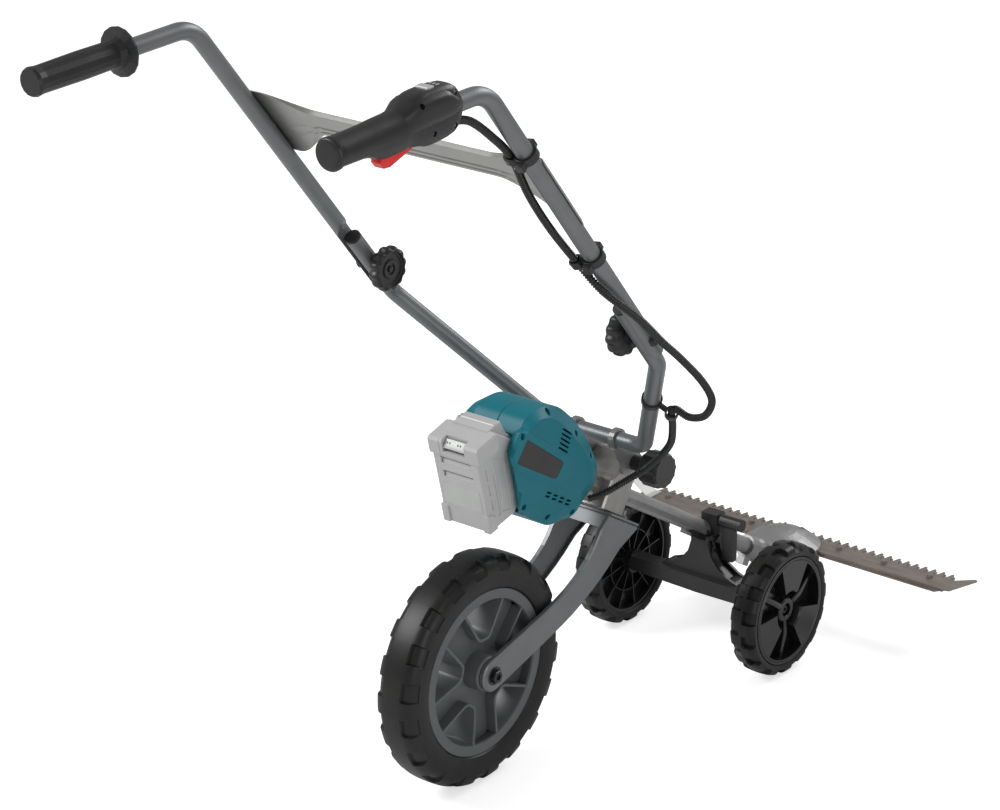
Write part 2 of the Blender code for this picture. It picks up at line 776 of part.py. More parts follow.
def housing_outline():
    """The housing's side view in drive coordinates, anticlockwise from its lower back corner."""
    nose, radius, keel = HOUSING_NOSE, HOUSING_RADIUS, HOUSING_KEEL
    rear = BATTERY_DEPTH - BATTERY_INSET
    return [
        battery_to_drive(rear, -0.001),
        (nose - 0.072, -keel),
        (nose - 0.0235, -keel + 0.0245),
        (nose, -0.004),
        (nose - 0.004, 0.016),
        (nose - 0.030, radius - 0.0337),
        (nose - 0.072, radius - 0.012),
        (nose - 0.105, radius - 0.004),
        (nose - 0.132, radius),
        (nose - 0.155, radius - 0.0039),
        (nose - 0.1805, radius - 0.017),
        (nose - 0.1895, radius - 0.0275),
        (nose - 0.1935, radius - 0.041),
        (nose - 0.192, radius - 0.058),
        battery_to_drive(rear, 0.088),
    ]


def housing_solid(side, shrink, start):
    """Half of the housing, with bevelled sides, from the middle plane outwards."""
    outline = housing_outline()
    wide = HOUSING_HALF_WIDTH - shrink
    rings = []
    for x, step_in in ((start, 0.0), (wide - 0.019, 0.0), (wide - 0.006, 0.007), (wide, 0.018)):
        ring = inset(outline, shrink + step_in)
        rings.append([(side * x, s, h) for s, h in ring])
    return stack(rings)


def battery_slot(low, high):
    """A box in battery coordinates, turned into drive coordinates."""
    mesh = block(low, high)
    place = (Matrix.Rotation(DRIVE_TILT, 4,
                             "X") @ Matrix.Translation((0, BATTERY_Y, BATTERY_Z - DRIVE_HEIGHT))
             @ Matrix.Rotation(BATTERY_TILT, 4, "X"))
    mesh.transform(place)
    return mesh


def motor_housing():
    screw_places = [(0.048, 0.014), (0.080, 0.056), (0.160, 0.049), (0.214, 0.016), (0.098, -0.063),
                    (0.166, -0.062)]
    stations = [(REAR_BEARING - 0.0005, REAR_BEARING + BEARING_WIDTH + 0.0005, BEARING_RADIUS + GAP),
                (STATOR_START - 0.0005, STATOR_START + 0.003, STATOR_RADIUS + GAP),
                (STATOR_START + STATOR_LENGTH - 0.003, STATOR_START + STATOR_LENGTH + 0.0005,
                 STATOR_RADIUS + GAP),
                (FRONT_BEARING - 0.0005, FRONT_BEARING + BEARING_WIDTH + 0.0005, BEARING_RADIUS + GAP)]
    pocket_half = BATTERY_WIDTH / 2 + SLACK
    dock_half = BATTERY_RAIL_WIDTH / 2 + 0.004
    for label, side in (("right", 1), ("left", -1)):
        shell = piece(f"motor_housing_{label}", housing_solid(side, 0, GAP / 2), "teal_plastic", DRIVE)
        cut(shell, housing_solid(side, HOUSING_WALL, -0.002))
        for start, end, _ in stations:
            rib = slab(housing_solid(side, 0.0012, GAP / 2), 1, start, end)
            join(shell, rib)
        for start, end, radius in stations:
            cut(shell, rod((0, start - 0.001, 0), (0, end + 0.001, 0), radius, 24))
        low, high = sorted((side * (pocket_half + GAP), side * (HOUSING_HALF_WIDTH - 0.003)))
        join(shell, battery_slot((low, BATTERY_DEPTH - 0.0165, 0.066), (high, BATTERY_DEPTH + 0.008, 0.088)))
        pad = [(0.0325, -0.0120), (0.0400, 0.0190), (0.154, 0.0145), (0.165, 0.0085), (0.152, -0.0255),
               (0.051, -0.0275)]
        cheek = [(0.0275, -0.0133), (0.0355, 0.0205), (0.064, 0.036), (0.078, -0.020), (0.051, -0.0275)]
        outer = HOUSING_HALF_WIDTH
        for outline, steps in ((cheek, ((pocket_half + GAP, 0.0), (outer - 0.007, 0.0),
                                        (outer - 0.0005, 0.005))),
                               (pad, ((outer - 0.0015, 0.0), (HOUSING_PAD_FACE - 0.0015, 0.0),
                                      (HOUSING_PAD_FACE, 0.0015)))):
            join(shell, stack([[(side * x, s, h) for s, h in inset(outline, shrink)] for x, shrink in steps]))
        for half, front, low in ((pocket_half, BATTERY_DEPTH + GAP, -0.0055),
                                 (dock_half, BATTERY_RAIL + 0.0045, -0.006),
                                 (pocket_half, BATTERY_RAIL + SLACK, 0.072)):
            cut(shell, battery_slot((-half, -0.02, low), (half, front, 0.25)))
        cut(shell, rod((0, 0.19, 0), (0, HOUSING_NOSE + 0.01, 0), SHAFT_RADIUS + 0.003, 16))
        for i in range(5):
            s, h = 0.128 + 0.0020 * i, 0.0445 - 0.0055 * i
            low, high = sorted((side * (outer - 0.010), side * (outer + 0.01)))
            cut(shell, block((low, s - 0.007, h - 0.0013), (high, s + 0.007, h + 0.0013)))
        for i in range(4):
            for j in range(2):
                s, h = 0.130 + 0.011 * i, -0.036 - 0.006 * j
                low, high = sorted((side * (outer - 0.010), side * (outer + 0.01)))
                cut(shell, block((low, s - 0.0035, h - 0.0016), (high, s + 0.0035, h + 0.0016)))
        for s, h in screw_places:
            low, high = sorted((side * 0.0405, side * 0.07))
            cut(shell, rod((low, s, h), (high, s, h), 0.0035, 8))


def motor_internals():
    end = STATOR_START + STATOR_LENGTH
    ring = [(STATOR_RADIUS, STATOR_START), (STATOR_RADIUS, end), (ROTOR_RADIUS + 0.001, end),
            (ROTOR_RADIUS + 0.001, STATOR_START)]
    piece("motor_stator", turned(ring, ALONG_Y, steps=24, closed=True), "copper", DRIVE)
    shaft_start = REAR_BEARING - 0.004
    shaft_end = HOUSING_NOSE + 0.004
    profile = [(0, shaft_start), (SHAFT_RADIUS, shaft_start), (SHAFT_RADIUS, STATOR_START + 0.001),
               (ROTOR_RADIUS, STATOR_START + 0.001), (ROTOR_RADIUS, end - 0.001), (SHAFT_RADIUS, end - 0.001),
               (SHAFT_RADIUS, shaft_end), (0, shaft_end)]
    piece("motor_rotor", turned(profile, ALONG_Y, steps=14), "bright_steel", DRIVE)
    for name, start in (("rear_bearing", REAR_BEARING), ("front_bearing", FRONT_BEARING)):
        race = [(BEARING_RADIUS, start), (BEARING_RADIUS, start + BEARING_WIDTH),
                (SHAFT_RADIUS + GAP, start + BEARING_WIDTH), (SHAFT_RADIUS + GAP, start)]
        piece(name, turned(race, ALONG_Y, steps=12, closed=True), "bright_steel", DRIVE)
    hub = [(0.010, FAN_START), (0.010, FAN_START + 0.010), (SHAFT_RADIUS + GAP, FAN_START + 0.010),
           (SHAFT_RADIUS + GAP, FAN_START - 0.001), (FAN_RADIUS, FAN_START - 0.001), (FAN_RADIUS, FAN_START)]
    fan = piece("cooling_fan", turned(hub, ALONG_Y, steps=14, closed=True), "black_plastic", DRIVE)
    for i in range(FAN_BLADES):
        blade = block((-0.0006, FAN_START - 0.0005, 0.008), (0.0006, FAN_START + 0.008, FAN_RADIUS - 0.001))
        blade.transform(Matrix.Rotation(2 * math.pi * i / FAN_BLADES, 4, "Y"))
        join(fan, blade)
    board = block((-0.034, STATOR_START + 0.0035 + GAP, -0.061), (0.034, end - 0.0035 - GAP, -0.0455))
    soften(piece("controller", board, "board_green", DRIVE), 0.002)
    rail_half = BATTERY_RAIL_WIDTH / 2 + SLACK
    dock_outside = rail_half + 0.0025
    dock_low, dock_high = 0.014, 0.066
    dock = piece("battery_dock", block((-dock_outside, BATTERY_RAIL + GAP, dock_low),
                                       (dock_outside, BATTERY_RAIL + 0.0042, dock_high)),
                 "black_plastic", BATTERY)
    for low, high in ((-dock_outside, -rail_half), (rail_half, dock_outside)):
        join(dock, block((low, BATTERY_DEPTH + 0.001, dock_low), (high, BATTERY_RAIL + 0.001, dock_high)))
    for x in (-0.018, 0.018):
        join(dock, block((x - 0.0015, BATTERY_RAIL - 0.006, 0.020),
                         (x + 0.0015, BATTERY_RAIL + 0.001, 0.060)))


def battery():
    half, back, deep, top = BATTERY_WIDTH / 2, BATTERY_BACK, BATTERY_DEPTH, BATTERY_HEIGHT
    side_view = [(back, -0.004), (deep - 0.011, -0.004), (deep, 0.003), (deep, 0.0745),
                 (BATTERY_RAIL, 0.0895),
                 (BATTERY_RAIL - 0.034, top), (back, top - 0.004)]
    rings = []
    for x, shrink in ((-half, 0.003), (-half + 0.003, 0.0), (half - 0.003, 0.0), (half, 0.003)):
        rings.append([(x, y, z) for y, z in inset(side_view, shrink)])
    pack = piece("battery_case", stack(rings), "battery_plastic", BATTERY)
    rail = BATTERY_RAIL_WIDTH / 2
    crown = [(deep - 0.010, 0.004), (BATTERY_RAIL, 0.004), (BATTERY_RAIL, 0.092),
             (BATTERY_RAIL - 0.0045, 0.1015)]
    join(pack, stack([[(x, y, z) for y, z in crown + [(deep - 0.010, 0.1015)]] for x in (-rail, rail)]))
    ridge = [[(-0.028, 0.030, 0.100), (0.028, 0.030, 0.100), (0.028, BATTERY_RAIL - 0.0045, 0.100),
              (-0.028, BATTERY_RAIL - 0.0045, 0.100)],
             [(-0.026, 0.032, top + 0.001), (0.026, 0.032, top + 0.001),
              (0.025, BATTERY_RAIL - 0.0115, top + 0.0005),
              (-0.025, BATTERY_RAIL - 0.0115, top + 0.0005)]]
    join(pack, stack(ridge))
    wide = BATTERY_COVER_WIDTH / 2
    cover = [(back - 0.0015, 0.0985), (BATTERY_RAIL - 0.034, 0.0985), (BATTERY_RAIL - 0.034, top - 0.001),
             (BATTERY_RAIL - 0.037, top), (back + 0.002, top - 0.0015), (back - 0.0015, top - 0.005)]
    rings = []
    for x, shrink in ((-wide, 0.003), (-wide + 0.003, 0.0), (wide - 0.003, 0.0), (wide, 0.003)):
        rings.append([(x, y, z) for y, z in inset(cover, shrink)])
    join(pack, stack(rings))
    for side in (-1, 1):
        low, high = sorted((side * (half - 0.012), side * (half + 0.0018)))
        join(pack, block((low, back - 0.0025, -0.0048), (high, back + 0.014, 0.020)))
    for z in (0.067, 0.088):
        cut(pack, block((-0.024, back - 0.003, z - 0.0035), (0.024, back + 0.0025, z + 0.0035)))
    for x in (-0.018, 0.018):
        cut(pack, block((x - 0.0019, BATTERY_RAIL - 0.0068, -0.006),
                        (x + 0.0019, BATTERY_RAIL + 0.001, 0.0605)))
    latch_half, latch_back = 0.0175, back - 0.0015
    cut(pack, block((-latch_half, latch_back - 0.001, top - 0.020),
                    (latch_half, latch_back + 0.012, top + 0.001)))
    latch = piece("battery_release_button", block((-latch_half + GAP, latch_back + 0.0015, top - 0.0135),
                                                  (latch_half - GAP, latch_back + 0.012 - GAP, top - 0.0045)),
                  "pale_plastic", BATTERY, (0, latch_back + 0.006, top - 0.009))
    soften(latch, 0.001)


def drive_line():
    pipe_bore = PIPE_RADIUS + GAP
    face = HOUSING_NOSE + 0.0015
    flange = [(0, face), (0.030, face), (0.0305, face + 0.0065), (0.019, face + 0.0235),
              (0.0165, face + 0.0300),
              (0.0165, CLAMP_START - GAP), (0, CLAMP_START - GAP)]
    case = piece("pipe_flange", turned(flange[::-1], ALONG_Y, steps=20), "bright_cast", DRIVE)
    join(case, rod((0.012, HOUSING_NOSE + 0.008, -0.018), (0.012, HOUSING_NOSE + 0.032, -0.018), 0.009, 12))
    cut(case, rod((0, face - 0.01, 0), (0, PIPE_START, 0), SHAFT_RADIUS + 0.004, 16),
        rod((0, PIPE_START - GAP, 0), (0, CLAMP_START + 0.01, 0), pipe_bore, 20))
    wall = 0.0015
    pipe = [(PIPE_RADIUS, PIPE_START), (PIPE_RADIUS, PIPE_END), (PIPE_RADIUS - wall, PIPE_END),
            (PIPE_RADIUS - wall, PIPE_START)]
    piece("drive_pipe", turned(pipe, ALONG_Y, steps=18, closed=True), "cast_grey", DRIVE)
    shaft_start = HOUSING_NOSE + 0.004 + GAP
    piece("drive_shaft", rod((0, shaft_start, 0), (0, pinion_back() - GAP, 0), SHAFT_RADIUS, 12),
          "bright_steel", DRIVE)


def handle_clamp():
    half = CLAMP_HALF_WIDTH
    low, front, back = FORK_H + GAP, CLAMP_END, CLAMP_START
    outline = [(back, low), (front, low), (front, 0.022), (TILT_S + 0.013, TILT_H + 0.008),
               (TILT_S + 0.004, TILT_H + 0.0125), (TILT_S - 0.008, TILT_H + 0.010), (back + 0.006, 0.018),
               (back, 0.012)]
    body = stack([[(x, s, h) for s, h in outline] for x in (-half, half)])
    clamp = piece("handle_clamp", body, "bright_cast", DRIVE)
    soften(clamp, 0.0025, 1)
    cut(clamp, rod((0, back - 0.01, 0), (0, front + 0.01, 0), PIPE_RADIUS + GAP, 20))
    cut(clamp, rod((-half - 0.01, TILT_S, TILT_H), (half + 0.01, TILT_S, TILT_H), BOLT_RADIUS + 0.001 + GAP,
                   12))
    for x in (-0.024, 0.024):
        cut(clamp, rod((x, 0.355, FORK_H - 0.001), (x, 0.355, FORK_H + 0.02), 0.0085, 12))


# Handle

def gusset_outline():
    """From the base tube round the tilt bolt, in drive coordinates."""
    s, h = BASE_TUBE_S, BASE_TUBE_H
    return [(s - 0.010, h - 0.006), (s + 0.004, h - 0.016), (TILT_S - 0.014, TILT_H - 0.020),
            (TILT_S - 0.004, TILT_H - 0.019), (TILT_S + 0.014, TILT_H - 0.002),
            (TILT_S + 0.014, TILT_H + 0.012),
            (s + 0.010, h + 0.012), (s, h + 0.014)]


def lower_handle():
    corners = [(-LOWER_X, 0, LOWER_END_RISE - PLUG_THICKNESS), (-LOWER_X, 0, LOWER_RISE),
               (-BASE_HALF_WIDTH, 0, 0),
               (BASE_HALF_WIDTH, 0, 0), (LOWER_X, 0, LOWER_RISE),
               (LOWER_X, 0, LOWER_END_RISE - PLUG_THICKNESS)]
    bar = piece("lower_handle", tube(rounded(corners, 0.034, 4), TUBE_RADIUS, 4), "silver_paint", HANDLE)
    for side in (-1, 1):
        cut(bar, rod((side * (LOWER_X - 0.02), 0, FOLD_RISE), (side * (LOWER_X + 0.02), 0, FOLD_RISE),
                     BOLT_RADIUS + GAP, 12))
    for label, side in (("right", 1), ("left", -1)):
        plug = rod((side * LOWER_X, 0, LOWER_END_RISE - PLUG_THICKNESS + GAP),
                   (side * LOWER_X, 0, LOWER_END_RISE),
                   TUBE_RADIUS, 20)
        soften(piece(f"tube_plug_{label}", plug, "black_plastic", HANDLE), 0.0008)
        x = side * (CLAMP_HALF_WIDTH + GAP + GUSSET_THICKNESS / 2)
        ring = [(x, s, h) for s, h in gusset_outline()]
        rings = [[(x + step, s, h) for _, s, h in ring] for step in (-GUSSET_THICKNESS / 2,
                                                                     GUSSET_THICKNESS / 2)]
        gusset = piece(f"gusset_{label}", stack(rings), "cast_grey", DRIVE)
        low, high = sorted((x - side * GUSSET_THICKNESS / 2,
                            x - side * GUSSET_THICKNESS / 2 + side * COLLAR_WIDTH))
        join(gusset, rod((low, BASE_TUBE_S, BASE_TUBE_H), (high, BASE_TUBE_S, BASE_TUBE_H),
                         TUBE_RADIUS + 0.0040, 20))
        cut(gusset, rod((low - 0.02, BASE_TUBE_S, BASE_TUBE_H), (high + 0.02, BASE_TUBE_S, BASE_TUBE_H),
                        TUBE_RADIUS + GAP, 20))
        cut(gusset, rod((low - 0.02, TILT_S, TILT_H), (high + 0.02, TILT_S, TILT_H),
                        BOLT_RADIUS + 0.001 + GAP, 12))


def knob(name, parent, place, radius, depth, side, lobes, stem, face_recess):
    """A lobed hand knob: place is the centre of its seat, and side is where it points along X."""
    x, y, z = place
    outline = lobed(radius, radius * 0.075, lobes)
    small = [(a * 0.93, b * 0.93) for a, b in outline]
    rings = []
    for step, loop in ((stem, small), (stem + 0.003, outline), (depth - 0.004, outline), (depth, small)):
        rings.append([(x + side * step, y + a, z + b) for a, b in loop])
    body = piece(name, stack(rings), "black_plastic", parent, place)
    join(body, rod((x, y, z), (x + side * (stem + 0.004), y, z), 0.010, 16, 0.013))
    cut(body, rod((x + side * (depth - face_recess), y, z), (x + side * (depth + 0.01), y, z), radius * 0.45,
                  12))
    return body


def knobs_and_bolts():
    seat = LOWER_X - TUBE_RADIUS - GAP
    for label, side in (("right", 1), ("left", -1)):
        place = (side * seat, 0, FOLD_RISE)
        body = knob(f"handle_knob_{label}", HANDLE, place, KNOB_RADIUS, KNOB_DEPTH, -side, KNOB_LOBES, 0.004,
                    0.004)
        cut(body, rod((side * (seat + 0.01), 0, FOLD_RISE), (side * (seat - 0.015), 0, FOLD_RISE),
                      BOLT_RADIUS + GAP, 12))
        outer = HALF_HANDLE + TUBE_RADIUS + GAP
        bolt = piece(f"handle_bolt_{label}", rod((side * (seat - 0.014), 0, FOLD_RISE),
                                                 (side * (outer + 0.001), 0, FOLD_RISE), BOLT_RADIUS, 12),
                     "black_plastic", HANDLE)
        join(bolt, rod((side * outer, 0, FOLD_RISE), (side * (outer + 0.004), 0, FOLD_RISE), 0.0085, 20,
                       0.006))
    seat = CLAMP_HALF_WIDTH + GAP + GUSSET_THICKNESS + GAP
    place = (seat, TILT_S, TILT_H)
    body = knob("tilt_knob", DRIVE, place, TILT_KNOB_RADIUS, 0.022 + TILT_KNOB_DEPTH, 1, KNOB_LOBES, 0.022,
                0.0)
    radius = BOLT_RADIUS + 0.001
    cut(body, rod((seat - 0.01, TILT_S, TILT_H), (seat + 0.030, TILT_S, TILT_H), radius + GAP, 12))
    bolt = piece("tilt_bolt", rod((-seat - 0.001, TILT_S, TILT_H), (seat + 0.029, TILT_S, TILT_H), radius,
                                  12),
                 "bright_steel", DRIVE)
    join(bolt, rod((-seat, TILT_S, TILT_H), (-seat - 0.005, TILT_S, TILT_H), 0.008, 6))


def upper_handle():
    start = BASE_TUBE + HANDLE_UP * UPPER_START_RISE
    end = HANDLE_TOP + GRIP_BACK * (GRIP_REACH - 0.012)
    for label, side in (("right", 1), ("left", -1)):
        across = Vector((side * HALF_HANDLE, 0, 0))
        route = rounded([start + across, HANDLE_TOP + across, end + across], HANDLE_BEND, 7)
        bar = piece(f"upper_handle_{label}", tube(route, TUBE_RADIUS, 4), "silver_paint", MACHINE)
        outline = [(FLAT_X, UPPER_START_RISE - 0.02), (FLAT_X, LOWER_END_RISE + 0.010),
                   (FLAT_X - 0.004, LOWER_END_RISE + 0.020), (FLAT_X - 0.014, LOWER_END_RISE + 0.032),
                   (0.17, LOWER_END_RISE + 0.032), (0.17, UPPER_START_RISE - 0.02)]
        flat = stack([[(side * x, n, s) for x, s in outline] for n in (-0.02, 0.02)])
        hole = rod((side * 0.18, 0, FOLD_RISE), (side * 0.26, 0, FOLD_RISE), BOLT_RADIUS + GAP, 12)
        for mesh in (flat, hole):
            mesh.transform(Matrix.Translation(BASE_TUBE) @ Matrix.Rotation(HANDLE_LEAN, 4, "X"))
        cut(bar, flat, hole)


def cross_brace():
    """A pressed rail whose ends flare and wrap round the front of the tubes."""
    wrap = TUBE_RADIUS + GAP + BRACE_THICKNESS / 2
    reach = HALF_HANDLE + wrap * math.sin(math.radians(62))
    flare_start = 0.130
    profile = [(0.003, 1.0), (0.0, 0.93), (0.0, 0.42), (0.0025, 0.33), (0.0, 0.25), (0.003, 0.15),
               (0.0075, 0.0)]
    stations = [0.0, flare_start, 0.150, 0.172, 0.192, HALF_HANDLE - 0.012, HALF_HANDLE, HALF_HANDLE + 0.0045,
                HALF_HANDLE + 0.008, reach]
    stations = [-x for x in reversed(stations[1:])] + stations
    bm = bmesh.new()
    rows = []
    for x in stations:
        along = min(max((abs(x) - flare_start) / (HALF_HANDLE - 0.012 - flare_start), 0), 1)
        flare = along * along * (3 - 2 * along)
        top = BRACE_TOP + (SADDLE_TOP - BRACE_TOP) * flare
        bottom = BRACE_BOTTOM + (SADDLE_BOTTOM - BRACE_BOTTOM) * flare
        over = max(abs(x) - HALF_HANDLE, 0)
        front = math.sqrt(wrap * wrap - over * over)
        rows.append([bm.verts.new((x, front + raised * (1 - flare), bottom + (top - bottom) * share))
                     for raised, share in profile])
    for first, second in zip(rows, rows[1:]):
        for i in range(len(profile) - 1):
            bm.faces.new((first[i], first[i + 1], second[i + 1], second[i]))
    brace = piece("cross_brace", finished(bm), "brace_metal", HANDLE)
    solid = brace.modifiers.new("thickness", "SOLIDIFY")
    solid.thickness = BRACE_THICKNESS
    solid.offset = 0
    solid.use_even_offset = True


def left_grip():
    start, end = -0.1175, -GRIP_REACH
    bore = TUBE_RADIUS + GAP
    bore_end = -GRIP_REACH + 0.0115
    profile = [(0, start + 0.003), (0.030, start + 0.003), (0.030, start), (0.0195, start - 0.003),
               (0.0165, start - 0.012), (0.0172, start - 0.060), (0.0165, end + 0.014), (0.0178, end + 0.004),
               (0.0160, end), (0, end)]
    grip = piece("left_grip", turned(profile, ALONG_Y, (-HALF_HANDLE, 0, 0), 16), "grip_rubber", GRIPS)
    cut(grip, rod((-HALF_HANDLE, bore_end, 0), (-HALF_HANDLE, 0.01, 0), bore, 20))


def switch_housing():
    x = HALF_HANDLE
    outline = [(-0.0505, -0.002), (-0.0515, 0.010), (-0.060, 0.024), (-0.068, 0.029), (-0.098, 0.0305),
               (-0.110, 0.021), (-0.128, 0.0165), (-0.148, 0.0150), (-0.148, -0.0150), (-0.134, -0.0190),
               (-0.120, -0.0275), (-0.088, -0.0265), (-0.0615, -0.0240), (-0.0575, -0.0160)]
    for label, side in (("right", 1), ("left", -1)):
        grip = [(0, -0.130), (0.0172, -0.130), (0.0188, -0.140), (0.0178, -0.185), (0.0172, -0.225),
                (0.0185, -0.246), (0.0190, -0.250), (0.0175, -GRIP_REACH), (0, -GRIP_REACH)]
        body = turned(grip[::-1], ALONG_Y, (x, 0, 0), 20)
        half = slab(body, 0, *sorted((x + side * GAP / 2, x + side * 0.05)))
        shell = piece(f"switch_housing_{label}", half, "black_plastic", GRIPS)
        rings = []
        for step, shrink in ((GAP / 2, 0.0), (SWITCH_HALF_WIDTH - 0.007, 0.0),
                             (SWITCH_HALF_WIDTH - 0.002, 0.0025),
                             (SWITCH_HALF_WIDTH, 0.006)):
            rings.append([(x + side * step, y, z) for y, z in inset(outline, shrink)])
        join(shell, stack(rings))
        cut(shell, rod((x, -GRIP_REACH + 0.0115, 0), (x, 0, 0), TUBE_RADIUS + GAP, 20))
        cut(shell, block((x - TRIGGER_HALF_WIDTH - GAP, -0.1845, -0.060),
                         (x + TRIGGER_HALF_WIDTH + GAP, -0.1140, -0.0090)))
        cut(shell, block((x - 0.0095, -0.1045, 0.0160), (x + 0.0095, -0.0925, 0.045)))
        low, high = sorted((x, x + side * 0.016))
        cut(shell, rod((low, -0.1225, -0.0185), (high, -0.1225, -0.0185), TRIGGER_PIN_RADIUS + GAP, 10))
        cut(shell, rod((x, -0.060, -0.019), (x, -0.030, -0.019), CABLE_RADIUS + GAP, 16))
    trigger_view = [(-0.1165, -0.0225), (-0.166, -0.0370), (-0.176, -0.0360), (-0.1815, -0.0290),
                    (-0.1800, -0.0235), (-0.150, -0.0205), (-0.1265, -0.0140), (-0.1165, -0.0140)]
    wide = TRIGGER_HALF_WIDTH
    rings = []
    for step, shrink in ((-wide, 0.0012), (-wide + 0.0012, 0.0), (wide - 0.0012, 0.0), (wide, 0.0012)):
        rings.append([(x + step, y, z) for y, z in inset(trigger_view, shrink)])
    pivot = (x, -0.1225, -0.0185)
    trigger = piece("trigger", stack(rings), "red_plastic", GRIPS, pivot)
    join(trigger, rod((x - 0.0157, *pivot[1:]), (x + 0.0157, *pivot[1:]), TRIGGER_PIN_RADIUS, 10))
    button = block((x - 0.0095 + GAP, -0.1045 + GAP, 0.0160 + BUTTON_TRAVEL + SLACK),
                   (x + 0.0095 - GAP, -0.0925 - GAP, 0.0335))
    soften(piece("power_button", button, "pale_plastic", GRIPS, (x, -0.0985, 0.026)), 0.001)


# Front bracket

def front_bracket():
    """A clamp on the pipe, a solid-backed upright with ribbed sides, and the beam for the axle."""
    y0, y1 = BRACKET_Y - BRACKET_THICKNESS / 2, BRACKET_Y + BRACKET_THICKNESS / 2
    axle_z = FRONT_WHEEL_RADIUS
    beam_high = axle_z + BEAM_RISE
    beam_low = beam_high - BEAM_HEIGHT
    pipe_low = drive_point(UPRIGHT_BACK / math.cos(DRIVE_TILT), 0).z - PIPE_RADIUS
    right = [(BRACKET_NECK + 0.001, pipe_low), (BRACKET_NECK, pipe_low - 0.012)]
    right += [(BRACKET_NECK + 0.005, beam_high + 0.032), (BRACKET_NECK + 0.017, beam_high + 0.017),
              (BRACKET_NECK + 0.033, beam_high + 0.007), (BRACKET_FLARE + 0.006, beam_high + 0.001),
              (BRACKET_FLARE + 0.006, beam_high - 0.004)]
    outline = right + [(-x, z) for x, z in reversed(right)]
    body = stack([[(x, y, z) for x, z in outline] for y in (UPRIGHT_BACK, UPRIGHT_FRONT)])
    bracket = piece("front_bracket", body, "black_plastic", MACHINE)
    half = BEAM_HALF_LENGTH
    join(bracket, block((-half, y0, beam_low), (half, y1, beam_high)))
    lip = [(half - 0.012, beam_low), (half - 0.030, beam_low - 0.0025), (0, beam_low - 0.0040)]
    lip += [(-x, z) for x, z in reversed(lip[:-1])]
    lip += [(-half + 0.012, beam_low + 0.002), (half - 0.012, beam_low + 0.002)]
    join(bracket, stack([[(x, y, z) for x, z in lip] for y in (y0 + 0.002, y1 - 0.002)]))
    for side in (-1, 1):
        pocket = [(side * (BRACKET_NECK + 0.002), pipe_low - 0.006),
                  (side * (BRACKET_NECK - 0.004), pipe_low - 0.012),
                  (side * (BRACKET_NECK - 0.001), beam_high + 0.032),
                  (side * (BRACKET_NECK + 0.012), beam_high + 0.014),
                  (side * (BRACKET_NECK + 0.030), beam_high + 0.003),
                  (side * (BRACKET_FLARE + 0.02), beam_high + 0.003),
                  (side * (BRACKET_FLARE + 0.02), pipe_low - 0.006)]
        cut(bracket, stack([[(x, y, z) for x, z in pocket] for y in (UPRIGHT_BACK + 0.004,
                                                                     UPRIGHT_FRONT - 0.004)]))
    ring_half = CLAMP_RING_LENGTH / 2
    ring = rod(drive_point(CLAMP_RING_S - ring_half, 0), drive_point(CLAMP_RING_S + ring_half, 0),
               CLAMP_RING_RADIUS, 22)
    head = block((-0.005, LEVER_Y - 0.010, 0.168), (0.0215, LEVER_Y + 0.010, LEVER_Z + 0.009))
    cheeks = block((-BRACKET_NECK - 0.001, UPRIGHT_BACK + 0.012, pipe_low - 0.010),
                   (BRACKET_NECK + 0.001, UPRIGHT_FRONT, pipe_low + 0.004))
    tongue = stack([[drive_point(s, h, x) for x, h in ((-0.009, -0.0165), (0.009, -0.0165), (0.009, -0.009),
                                                       (-0.009, -0.009))]
                    for s in (CLAMP_RING_S - 0.072, CLAMP_RING_S - ring_half + 0.004)])
    join(bracket, ring, head, cheeks, tongue)
    cut(bracket, rod(drive_point(CLAMP_RING_S - 0.09, 0), drive_point(CLAMP_RING_S + 0.06, 0),
                     PIPE_RADIUS + GAP, 20))
    cut(bracket, rod((-0.13, BRACKET_Y, axle_z), (0.13, BRACKET_Y, axle_z), FRONT_AXLE_RADIUS + GAP, 16))
    cut(bracket, rod((0.012, LEVER_Y, LEVER_Z), (0.03, LEVER_Y, LEVER_Z), BOLT_RADIUS + GAP, 12))
    reach = FRONT_TRACK / 2 + FRONT_AXLE_END
    piece("front_axle", rod((-reach, BRACKET_Y, axle_z), (reach, BRACKET_Y, axle_z), FRONT_AXLE_RADIUS, 16),
          "bright_steel", MACHINE)
    place = (0.022, LEVER_Y, LEVER_Z)
    lever = piece("clamp_lever", rod(place, (0.058, LEVER_Y, place[2]), LEVER_RADIUS, 20), "black_plastic",
                  MACHINE, place)
    paddle = block((0.0266, LEVER_Y - 0.004, place[2] - 0.0575), (0.0450, LEVER_Y + 0.0065, place[2]))
    join(lever, paddle, rod((0.0125, LEVER_Y, place[2]), (0.03, LEVER_Y, place[2]), BOLT_RADIUS, 12))


# Gear case and cutter bar

def pitch_geometry():
    """Cone apex height, gear half-angle and pinion half-angle of the bevel pair."""
    apex_z = DRIVE_HEIGHT - CRANK_Y * math.tan(DRIVE_TILT)
    shaft_angle = math.pi / 2 - DRIVE_TILT
    ratio = CRANK_TEETH / PINION_TEETH
    pinion_angle = math.atan2(math.sin(shaft_angle), ratio + math.cos(shaft_angle))
    return apex_z, shaft_angle - pinion_angle, pinion_angle


